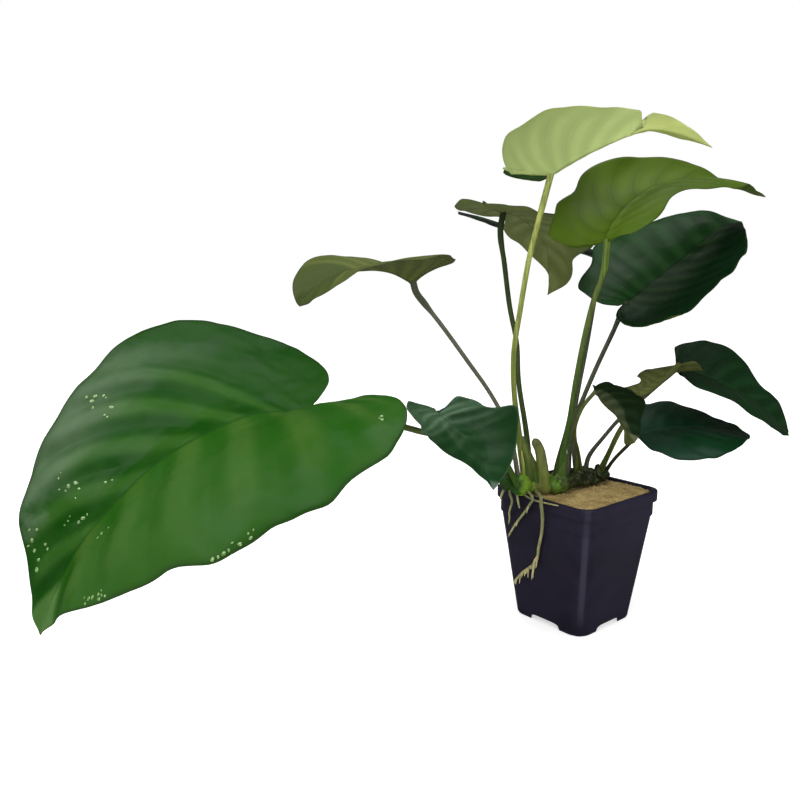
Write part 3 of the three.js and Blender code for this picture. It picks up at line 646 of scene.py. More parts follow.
pad_radius = PAD_RINGS[0][1]
pad_place = foot_side / 2 - POT["wall"] - pad_radius
for x in (-pad_place, pad_place):
    for y in (-pad_place, pad_place):
        apply_boolean(pot, block("pad", PAD_RINGS, (x, y, 0)), "UNION")
for turned in (False, True):
    apply_boolean(pot, arch_block(turned), "DIFFERENCE")
for place in DRAIN_PLACES:
    apply_boolean(pot, block("drain", DRAIN_RINGS, (*place, 0)), "DIFFERENCE")
pot.data.shade_smooth()
pot.data.set_sharp_from_angle(angle=math.radians(38))
print("pot has", len(pot.data.polygons), "faces after the cuts")

# %% Painted highlight on the corners
def mark_points(mesh, name, values, kind="FLOAT"):
    """Stores a number, or a vector, for each point of a mesh under a name."""
    field = "value" if kind == "FLOAT" else "vector"
    marks = mesh.attributes.new(name, kind, "POINT")
    marks.data.foreach_set(field, np.asarray(values, float).ravel())


# Each point's share of the painted highlight: full on the rounded outer corners
highlit = []
for vertex in pot.data.vertices:
    x, y, z = on_bench(vertex.co)
    outside = abs(x) + abs(y) > 50
    on_corner = smooth_step(4.4, 1.4, abs(abs(x) - abs(y))) if outside else 0.0
    # The painted highlight leaves out the very foot, and is only half as strong from the collar up
    highlit.append(float(on_corner * smooth_step(4, 26, z) * (1 - 0.5 * smooth_step(78, 84, z))))
mark_points(pot.data, "corner", highlit)
hand_in(pot, "pot")
print("points on rubbed corners:", sum(share > 0 for share in highlit))

# %% [markdown]
# ## The rooting medium
# The medium is a block of dry granular foam that fills the pot almost to the rim. Its top is the only
# side that shows, so the top gets a fine grid whose points are pushed up and down by noise, fine for
# the grains and coarse for the swells, and it dips under the rhizome so that nothing cuts through.

# %% The rhizome's course
# Stations along the rhizome: place and radius, from the growing end to the old end
RHIZOME = (
    (-56, 21, 109, 5), (-45, 17, 108.4, 7.6), (-32, 10, 105.5, 7), (-16, 3, 105, 7.8),
    (9, 3, 104.6, 7), (27, 2, 104, 6), (42, 2, 103, 3),
)


def rhizome_clearance(x, y):
    """Lowest height of the rhizome above a point of the medium, or a large number away from it."""
    low = 200.0
    for (x0, y0, z0, r0), (x1, y1, z1, r1) in zip(RHIZOME, RHIZOME[1:]):
        along = np.array([x1 - x0, y1 - y0])
        share = float(np.clip(np.dot([x - x0, y - y0], along) / np.dot(along, along), 0, 1))
        reach = math.hypot(x - x0 - share * along[0], y - y0 - share * along[1])
        radius = r0 + (r1 - r0) * share
        if reach < radius:
            low = min(low, z0 + (z1 - z0) * share - math.sqrt(radius**2 - reach**2))
    return low


print("rhizome stands", round(rhizome_clearance(0, 3), 1), "mm above the foot")

# %% Medium block
side_slack, corner_radius = 1.2, 9
half_side = (collar_inner - side_slack) / 2
top_height, highest = 98.4, 99.9
shoulder, bottom = 84, 7
cells = 150
row = cells + 1


def bumps(x, y, layer, scale, height):
    """One layer of noise over the top of the medium."""
    return noise.noise(Vector((x, y, layer)) * scale) * height


def medium_point(p, q):
    """A point of the unit square laid on the rounded top, with its height."""
    far = max(abs(p), abs(q), 1e-9)
    reach = half_side - corner_radius
    x, y = half_side * p / far, half_side * q / far
    if abs(x) > reach and abs(y) > reach:
        middle = Vector((math.copysign(reach, x), math.copysign(reach, y)))
        x, y = middle + (Vector((x, y)) - middle).normalized() * corner_radius
    x, y = x * far, y * far
    grains = bumps(x, y, 0, 0.5, 0.8) + bumps(x, y, 9, 1.2, 0.4)
    swell = bumps(x, y, 30, 0.12, 1.2) + bumps(x, y, 50, 0.28, 0.9)
    drop = 1.2 * smooth_step(0.95, 1.0, far)
    height = top_height + 0.3 + grains + swell - drop
    return x, y, min(float(height), rhizome_clearance(x, y) - 0.4, highest)


grid = [medium_point(2 * i / cells - 1, 2 * j / cells - 1) for j in range(row) for i in range(row)]
faces = []
for j in range(cells):
    for i in range(cells):
        corner = j * row + i
        faces.append((corner, corner + 1, corner + row + 1, corner + row))
above = list(range(row))
above += [j * row + cells for j in range(1, row)]
above += [cells * row + i for i in range(cells - 1, -1, -1)]
above += [j * row for j in range(cells - 1, 0, -1)]
border = [grid[index] for index in above]
bottom_side = wall_side_at(bottom) - inner - side_slack
for level, scale in ((shoulder, 0.975), (bottom, bottom_side / 2 / half_side)):
    lower = list(range(len(grid), len(grid) + len(border)))
    grid += [(x * scale, y * scale, level) for x, y, _ in border]
    for a in range(len(border)):
        b = (a + 1) % len(border)
        faces.append((above[a], lower[a], lower[b], above[b]))
    above = lower
faces.append(tuple(reversed(above)))
medium = make_piece("growing_medium_block", grid, faces, [medium_skin])
outward(medium)
hand_in(medium, "growing_medium")
print("medium has", len(medium.data.polygons), "faces")

# %% [markdown]
# ## Geometry Nodes: a stem along a path, and bits scattered on a surface
# Stalks, roots and shoots all follow a path and grow thinner or thicker on the way. One tree does this
# for all of them: it turns the path into evenly spaced points, sweeps a circle along it, and dents the
# skin a little. A second tree puts copies of one small bit on given points, upright on the surface
# there, and serves for the crumbs on the medium and for the water drops.

# %% Tree: stem along a path
def new_tree(name, sockets):
    tree = bpy.data.node_groups.new(name, "GeometryNodeTree")
    tree.interface.new_socket(name="Geometry", in_out="INPUT", socket_type="NodeSocketGeometry")
    for socket, kind in sockets:
        tree.interface.new_socket(name=socket, in_out="INPUT", socket_type="NodeSocket" + kind)
    tree.interface.new_socket(name="Geometry", in_out="OUTPUT", socket_type="NodeSocketGeometry")
    return tree, tree.nodes.new("NodeGroupInput").outputs, tree.nodes.new("NodeGroupOutput").inputs


def end_tree(tree, shape, skin, out_of):
    """Makes all copies real, gives the whole its skin and hands it out."""
    whole = add_node(tree, "GeometryNodeRealizeInstances", Geometry=shape.outputs[0])
    skinned = add_node(tree, "GeometryNodeSetMaterial", Geometry=whole.outputs[0], Material=skin)
    tree.links.new(skinned.outputs[0], out_of["Geometry"])


inputs = [("Step", "Float"), ("Sides", "Int"), ("Dent", "Float"), ("Dent Scale", "Float")]
inputs.append(("Skin", "Material"))
stem_tree, into, out_of = new_tree("stem_along_path", inputs)
evenly = add_node(
    stem_tree, "GeometryNodeResampleCurve", {"mode": "LENGTH"}, Curve=into["Geometry"], Length=into["Step"]
)
along = add_node(stem_tree, "GeometryNodeSplineParameter").outputs["Factor"]
marked = add_node(
    stem_tree, "GeometryNodeStoreNamedAttribute", Geometry=evenly.outputs[0], Name="share", Value=along
)
circle = add_node(stem_tree, "GeometryNodeCurvePrimitiveCircle", Resolution=into["Sides"], Radius=1.0)
radius = add_node(stem_tree, "GeometryNodeInputRadius").outputs[0]
swept = add_node(
    stem_tree, "GeometryNodeCurveToMesh",
    Curve=marked.outputs[0], Profile_Curve=circle.outputs[0], Scale=radius, Fill_Caps=True,
)
dents = add_node(stem_tree, "ShaderNodeTexNoise", Scale=into["Dent Scale"]).outputs[0]
push = times(stem_tree, maths(stem_tree, "SUBTRACT", dents, 0.5), into["Dent"])
normal = add_node(stem_tree, "GeometryNodeInputNormal").outputs[0]
offset = add_node(stem_tree, "ShaderNodeVectorMath", {"operation": "SCALE"}, _0=normal, Scale=push)
moved = add_node(stem_tree, "GeometryNodeSetPosition", Geometry=swept.outputs[0], Offset=offset.outputs[0])
rounded = add_node(stem_tree, "GeometryNodeSetShadeSmooth", Geometry=moved.outputs[0])
end_tree(stem_tree, rounded, into["Skin"], out_of)
print("stem tree has", len(stem_tree.nodes), "nodes")

# %% Tree: bits on points
inputs = [("Bit", "Object"), ("Seed", "Int"), ("Skin", "Material")]
bits_tree, into, out_of = new_tree("bits_on_points", inputs)
upward = add_node(bits_tree, "GeometryNodeInputNamedAttribute", {"data_type": "FLOAT_VECTOR"}, Name="up")
size = add_node(bits_tree, "GeometryNodeInputNamedAttribute", {"data_type": "FLOAT"}, Name="size")
upright = add_node(bits_tree, "FunctionNodeAlignRotationToVector", {"axis": "Z"}, Vector=upward.outputs[0])
spin = add_node(
    bits_tree, "FunctionNodeRandomValue", {"data_type": "FLOAT"}, _2=0.0, _3=2 * math.pi, Seed=into["Seed"]
)
spun = add_node(bits_tree, "FunctionNodeAxisAngleToRotation", Axis=(0, 0, 1), Angle=spin.outputs[1])
turned = add_node(
    bits_tree, "FunctionNodeRotateRotation", {"rotation_space": "LOCAL"},
    Rotation=upright.outputs[0], _1=spun.outputs[0],
)
bit = add_node(bits_tree, "GeometryNodeObjectInfo", Object=into["Bit"])
placed = add_node(
    bits_tree, "GeometryNodeInstanceOnPoints", Points=into["Geometry"],
    Instance=bit.outputs["Geometry"], Rotation=turned.outputs[0], Scale=size.outputs[0],
)
end_tree(bits_tree, placed, into["Skin"], out_of)
print("bits tree has", len(bits_tree.nodes), "nodes")

# %% [markdown]
# A tree runs as a modifier. The result is copied to a plain mesh, the modifier is taken off again and
# the path or the points it ran on are removed, so only the finished piece stays. A path's points carry
# their own radius, and the tree's inputs are set by the identifiers of their sockets.

# %% Running a tree
def run_tree(name, source, tree, values):
    """Runs a tree on an object and hands back its result as a plain mesh object."""
    modifier = source.modifiers.new(tree.name, "NODES")
    modifier.node_group = tree
    sockets = {s.name: s.identifier for s in tree.interface.items_tree if s.in_out == "INPUT"}
    for key, value in values.items():
        modifier[sockets[key]] = value
    mesh = evaluated_mesh(source)
    mesh.name = name
    source.modifiers.remove(modifier)
    bpy.data.objects.remove(source)
    return link_object(name, mesh)


def smooth_path(places, steps=6):
    """Points on a smooth curve through the places: the centripetal Catmull-Rom curve of the solids."""
    p = np.asarray(places, float)
    p = np.vstack([2 * p[0] - p[1], p, 2 * p[-1] - p[-2]])
    found = []
    for i in range(1, len(p) - 2):
        before, here, there, after = p[i - 1 : i + 3]
        pairs = ((before, here), (here, there), (there, after))
        g0, g1, g2 = [max(np.linalg.norm(b - a), 1e-6) ** 0.5 for a, b in pairs]
        lead = ((here - before) / g0 - (there - before) / (g0 + g1) + (there - here) / g1) * g1
        trail = ((there - here) / g1 - (after - here) / (g1 + g2) + (after - there) / g2) * g1
        square = 3 * (there - here) - 2 * lead - trail
        cube = 2 * (here - there) + lead + trail
        found += [here + lead * t + square * t**2 + cube * t**3 for t in np.arange(steps) / steps]
    return np.array(found + [p[-2]])


def shares_along(line):
    """How far along a path each of its points lies, from 0 to 1."""
    lengths = np.r_[0, np.cumsum(np.linalg.norm(np.diff(line, axis=0), axis=1))]
    return lengths / lengths[-1]


def path_object(name, places, radius_at):
    """A path as a curve object whose points carry their own radius."""
    line = smooth_path(places)
    curve = bpy.data.curves.new(name, "CURVE")
    curve.dimensions = "3D"
    spline = curve.splines.new("POLY")
    spline.points.add(len(line) - 1)
    for point, place, share in zip(spline.points, in_frame(line), shares_along(line)):
        point.co = (*place, 1)
        point.radius = radius_at(float(share)) / 1000
    return link_object(name, curve)


def grow_stem(name, places, radius_at, skin, step=1.2, sides=20, dent=0.0002, dent_scale=220.0):
    """A stem along a path; the step is in millimetres, the dent in metres."""
    path = path_object(name + "_path", places, radius_at)
    values = {"Step": step / 1000, "Sides": sides, "Dent": dent, "Dent Scale": dent_scale, "Skin": skin}
    return run_tree(name, path, stem_tree, values)


def put_bits(name, bit, places, ups, sizes, seed, skin):
    """Copies of a bit on points, each upright along its own direction and with its own size."""
    points = make_piece(name + "_points", places, [])
    mark_points(points.data, "up", ups, "FLOAT_VECTOR")
    mark_points(points.data, "size", sizes)
    piece = run_tree(name, points, bits_tree, {"Bit": bit, "Seed": seed, "Skin": skin})
    bpy.data.objects.remove(bit)
    piece.data.shade_smooth()
    return piece


print("trees can be run")

# %% [markdown]
# ## Crumbs on the medium
# A few loose grains lie on the top. One rough grain is copied to random places, each at the height of
# the medium there, so a handful of faces makes them all.

# %% Crumbs
def mesh_of(work, name):
    """Turns finished mesh work into a mesh and frees it."""
    mesh = bpy.data.meshes.new(name)
    work.to_mesh(mesh)
    work.free()
    return mesh


work = bmesh.new()
bmesh.ops.create_icosphere(work, subdivisions=1, radius=0.001)
for vertex in work.verts:
    vertex.co *= 0.8 + 0.5 * abs(noise.noise(vertex.co * 900))
grain = bpy.data.objects.new("grain", mesh_of(work, "grain"))
crumb_count, crumb_seed = 420, 4
chance = np.random.default_rng(crumb_seed)
spots = []
while len(spots) < crumb_count:
    x, y, height = medium_point(*chance.uniform(-0.96, 0.96, 2))
    # None in the deepest hollows, and none under the rhizome
    if height > top_height - 1.2 and height < rhizome_clearance(x, y) - 2:
        spots.append((x, y, min(height, 99.3)))
sizes = chance.uniform(0.25, 0.75, crumb_count)
ups = chance.normal(0, 1, (crumb_count, 3))
crumbs = put_bits("medium_crumbs", grain, spots, ups, sizes, crumb_seed, medium_skin)
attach(crumbs, "root")
print("crumbs have", len(crumbs.data.polygons), "faces")

# %% [markdown]
# ## The rhizome
# The rhizome is a thick creeping stem: a dark rounded bud and a bright lump at the growing end, and
# swollen lumps wherever a stalk leaves it. Lumps that grow into each other are hard to draw but easy
# to melt together: a tube and a ball for each lump go through the Remesh modifier, which makes one
# even skin of them. The skin is then dented by noise, and creased across where old leaves sat.

# %% Rhizome lumps
# Each lump: its middle, its radius, and how far it is stretched upwards. First the big ones along the
# rhizome, then small knots on them.
LUMPS = (
    ((-56, 20, 109.5), 5.2, 1.25), ((-46, 15.5, 107.2), 8.4, 1.02), ((-37, 10, 104.5), 5.2, 1.0),
    ((-30, 7.5, 106), 6.8, 1.2), ((-23.5, 2, 104.5), 5.4, 1.05), ((-17, 3.5, 105.5), 7.6, 1.25),
    ((-8, 4, 103.5), 4.6, 1.0), ((0, 1, 105), 5.0, 1.0), ((8, 6, 106), 5.6, 1.2),
    ((13, -1, 104), 5.0, 1.0), ((20, 3, 106), 4.8, 1.2), ((28, 0, 104), 4.4, 1.0), ((35, 2, 104), 4.2, 1.0),
    ((6, -3.5, 103), 3.4, 0.9), ((10, -4, 106), 2.8, 1.4), ((17, -5, 102.5), 3.0, 0.9),
    ((22, -3, 108), 2.6, 1.5), ((25, -5, 103.5), 2.8, 1.1), ((30, 4, 109), 2.8, 1.3),
    ((33, -2.5, 103.5), 2.6, 1.0), ((2, -1, 110), 2.7, 1.4), ((13, 4, 110.5), 2.8, 1.4),
    ((-9, -2, 107), 2.8, 1.3),
)


def ball(middle, radius, stretch):
    work = bmesh.new()
    bmesh.ops.create_icosphere(work, subdivisions=3, radius=radius)
    mesh = mesh_of(work, "ball")
    points = np.array([vertex.co for vertex in mesh.vertices])
    faces = [tuple(face.vertices) for face in mesh.polygons]
    bpy.data.meshes.remove(mesh)
    return points * (1, 1, stretch) + middle, faces


def tube(line, radii, sides=24):
    """A closed tube round a path, with a radius for each of its points."""
    tangent = np.gradient(line, axis=0)
    tangent /= np.linalg.norm(tangent, axis=1)[:, None]
    points, faces = [], []
    for place, way, radius in zip(line, tangent, radii):
        aside = np.cross([0, 0, 1.0], way)
        aside /= np.linalg.norm(aside)
        above = np.cross(way, aside)
        turns = np.arange(sides) * 2 * math.pi / sides
        points += [place + radius * (aside * math.cos(a) + above * math.sin(a)) for a in turns]
    for i in range(len(line) - 1):
        here, there = i * sides, (i + 1) * sides
        for j in range(sides):
            after = (j + 1) % sides
            faces.append((here + j, here + after, there + after, there + j))
    faces += [tuple(range(sides))[::-1], tuple(range(len(points) - sides, len(points)))]
    return np.array(points), faces


print("lumps:", len(LUMPS))

# %% Melting the lumps together
core_share, voxel, smoothings = 0.74, 0.0007, 4
stations = np.array(RHIZOME, float)
line = smooth_path(stations[:, :3], 12)
shares = shares_along(line)
radii = np.interp(np.linspace(0, len(stations) - 1, len(line)), range(len(stations)), stations[:, 3])
points, faces = tube(line, radii * core_share)
for lump in LUMPS:
    more, more_faces = ball(*lump)
    faces += [tuple(i + len(points) for i in face) for face in more_faces]
    points = np.vstack([points, more])
rhizome = make_piece("rhizome_stem", points, faces, [rhizome_skin])
outward(rhizome, 0.0000001)
melt = rhizome.modifiers.new("melt", "REMESH")
melt.mode = "VOXEL"
melt.voxel_size = voxel
melted = evaluated_mesh(rhizome)
rhizome.modifiers.clear()
rhizome.data = melted
print("melted rhizome has", len(melted.polygons), "faces")

# %% Dents, creases and scars
work = bmesh.new()
work.from_mesh(rhizome.data)
every_way = dict(use_axis_x=True, use_axis_y=True, use_axis_z=True)
for _ in range(smoothings):
    bmesh.ops.smooth_vert(work, verts=work.verts, factor=0.5, **every_way)
work.normal_update()
marks, scars = [], []
for vertex in work.verts:
    place = on_bench(vertex.co)
    share = shares[int(np.argmin(np.linalg.norm(line - place, axis=1)))]
    spot = Vector(place)
    # Creases follow the lines where a coarse noise is zero; the young end has none
    crease = float(smooth_step(0.12, 0.0, abs(noise.noise(spot * 0.2))))
    crease *= float(smooth_step(0.3, 0.4, share))
    dent = 0.9 * noise.noise(spot * 0.22) + 0.4 * noise.noise(spot * 0.6) - 0.8 * crease
    dent *= 0.3 + 0.7 * float(smooth_step(0.25, 0.4, share))
    vertex.co += vertex.normal * dent / 1000
    marks.append(share + 0.03 * noise.noise(spot * 0.3))
    old = float(smooth_step(0.5, 0.6, share))
    scars.append(max(crease, 0.8 * float(smooth_step(0.15, 0.45, -noise.noise(spot * 0.35))) * old))
work.to_mesh(rhizome.data)
work.free()
mark_points(rhizome.data, "share", marks)
mark_points(rhizome.data, "scar", scars)
rhizome.data.materials.clear()
rhizome.data.materials.append(rhizome_skin)
rhizome.data.shade_smooth()
hand_in(rhizome, "rhizome")
print("rhizome has", len(rhizome.data.polygons), "faces")

# %% [markdown]
# ## Young shoot and bud scale
# A new leaf starts as a stubby rolled spear, thick at its foot and blunt at its tip. Beside it stands
# the dry scale that once wrapped a bud. Both are stems of their own, with their radius read off a
# short table along their length.

# %% Young shoot and bud scale
SHOOT = ((-31, 6, 103), (-32, 6, 113), (-33, 7, 123), (-35, 8, 133), (-39, 10, 141))
SCALE = ((-43, 22, 109), (-43, 22, 115), (-44, 22, 121))


def shoot_radius(share):
    return float(np.interp(share, [0, 0.3, 0.6, 0.84, 0.92, 0.97, 1], [5.0, 4.5, 3.8, 3.5, 3.2, 2.2, 0.4]))


def scale_radius(share):
    return float(np.interp(share, [0, 0.3, 1], [1.4, 1.8, 0.2]))


shoot = grow_stem("young_shoot_spear", SHOOT, shoot_radius, shoot_skin, 0.5, 32, 0.0008, 130.0)
hand_in(shoot, "young_shoot")
scale = grow_stem("bud_scale_sliver", SCALE, scale_radius, scale_skin, 0.5, 16)
hand_in(scale, "bud_scale")
print("shoot and scale grown")

# %% [markdown]
# ## Roots
# A few cream roots leave the rhizome and hang over the rim; the long one ends in a tuft of rootlets.
# They are knobbly, so the stem tree dents them more. Rootlets are short stems of their own along a
# stretch of two of the roots, joined to them.

# %% Roots
# Each root: its path, and its radius at the rhizome and at its tip
ROOTS = {
    "root_long": (
        ((-37.5, 9, 103), (-42, 3, 103.2), (-47.5, -5, 102.4), (-49, -7, 97), (-46, -6, 87), (-44, -4, 75),
         (-42, 0, 62), (-41, 2, 53), (-40.5, 6, 47), (-40, 15, 39), (-39, 25, 28)),
        1.3, 0.9,
    ),
    "root_straight": (
        ((-42, 13.5, 105), (-46.5, 7, 103.4), (-48.8, 1, 100), (-48.6, 4, 95), (-46.6, 9, 89),
         (-44, 21, 75), (-42, 30, 62)),
        1, 0.7,
    ),
    "root_stub": (((-48, 18.5, 105.5), (-48.9, 16, 100), (-48.6, 15, 95), (-46.5, 15, 89)), 1.1, 0.7),
    "root_bent": (
        ((-52, 20.5, 105), (-51.5, 20.5, 100), (-49.5, 20, 94), (-46.5, 25, 84), (-44, 27, 78),
         (-43.6, 28, 73)),
        1, 0.6,
    ),
    "root_rim": (
        ((-46, 15, 103.5), (-46.8, 10, 100.5), (-46.5, 3, 98.5), (-46.2, -7, 98.6), (-46.1, -20, 99.4)),
        0.8, 0.5,
    ),
    "root_spike": (((-57, 20.5, 106), (-59, 21, 102), (-60, 22, 97)), 1.2, 0.6),
}
# Rootlets: the stretch of the root that has them, how many, how long, and the seed
TUFTS = {
    "root_long": ((0.66, 0.78, 14, 8.5, 3), (0.8, 0.99, 16, 4.5, 5)),
    "root_straight": ((0.4, 0.9, 5, 3.0, 8),),
}
# A root tapers off over its last share
TIP_FROM, TIP_SHARE = 0.94, 0.06


def join_pieces(pieces, name):
    """One mesh of several, with every piece's own skin kept; a single piece stays as it is."""
    if len(pieces) == 1:
        return pieces[0]
    skins, whole = [], bmesh.new()
    for piece in pieces:
        skin = piece.data.materials[0]
        if skin not in skins:
            skins.append(skin)
        start = len(whole.faces)
        whole.from_mesh(piece.data)
        whole.faces.ensure_lookup_table()
        for face in whole.faces[start:]:
            face.material_index = skins.index(skin)
    mesh = pieces[0].data.copy()
    mesh.name = name
    mesh.materials.clear()
    for skin in skins:
        mesh.materials.append(skin)
    whole.to_mesh(mesh)
    whole.free()
    for piece in pieces:
        bpy.data.objects.remove(piece)
    return link_object(name, mesh)


def rootlets(places, first, last, count, length, seed):
    """Short curling side roots along a stretch of a root, hanging down and away from the pot."""
    chance = np.random.default_rng(seed)
    line = smooth_path(places, 12)
    made = []
    for i in range(count):
        at = line[int((first + (last - first) * chance.random()) * (len(line) - 1))]
        way = [-0.35 - 0.5 * chance.random(), 0.9 * chance.random() - 0.6, -0.2 - 0.8 * chance.random()]
        reach = length * (0.45 + 0.9 * chance.random())
        curl = np.array([0.15, 0.35 * chance.random(), -0.35]) * reach
        way = np.array(way) * reach
        spots = [at, at + way * 0.4, at + way * 0.75 + curl * 0.4, at + way * 0.95 + curl]
        thick = 0.42 + 0.28 * chance.random()

        def rootlet_radius(share, thick=thick):
            return thick * (1 - 0.7 * share)

        made.append(grow_stem(f"rootlet_{i}", spots, rootlet_radius, root_tip_skin, 0.8, 8, 0.0001))
    return made


for node, (places, first, last) in ROOTS.items():
    def root_radius(share, first=first, last=last):
        tip = 1 if share < TIP_FROM else 1 - 0.7 * (share - TIP_FROM) / TIP_SHARE
        return (first + (last - first) * share) * tip

    parts = [grow_stem(node + "_strand", places, root_radius, root_skin, 0.8, 14, 0.0005, 300.0)]
    for tuft in TUFTS.get(node, ()):
        parts += rootlets(places, *tuft)
    hand_in(join_pieces(parts, node + "_strand"), node)
print("roots grown:", len(ROOTS))

# %% [markdown]
# ## Leaves
# Every leaf is a flat heart whose outline is given by half widths at a few stations. The flat heart is
# then shaped: the midrib arches, the halves fold up and cup, the lobes droop and the blade twists. Mesh
# code suits this best, because each point's place follows from its place on the flat heart. The same
# numbers shaped the measured solids, so each fine leaf lies in its coarse one. Here the outline gets
# many more points, and the surface gets what the eye looks for: sunken side veins with the tissue
# puffed up between them, a midrib that stands out below, a wavy margin and thin edges.
#
# The table gives lengths in millimetres and angles in degrees, and pairs give the left half first:
#
# - seat, heading, pitch and roll place the blade; length runs from the seat to the tip.
# - widths are half widths from near the tip to near the seat; lobe is how far each lobe reaches back
#   and lobe_place how far out, and notch and notch_open shape the notch between them.
# - arch bends the midrib, tip_drop lets the tip hang, lobe_droop bends the lobes, fold lifts each half,
#   cup curls it and twist turns the blade along its length.
# - stalk is the stalk's path, with stalk_radii at its foot and top, and joint is the swelling below the
#   blade.
# - veins counts the side veins, slant is how fast each leans to the tip, puff the height of the tissue
#   between them, groove the depth along the midrib, last where the side veins end, wavy the height of
#   the margin's waves, soft the rounding across the midrib, uneven the height of the broad hollows, and
#   rib_side 1 where the midrib stands out below.
# - nicks are notches in the outline, each with its half, its place along the outline (0 at the tip, 1 at
#   the lobe, more in the notch), its depth (less than 0 is a bulge) and its width. ridges are the same
#   on the surface, with a height.
# - skins are the upper sides of both halves and then the lower ones.

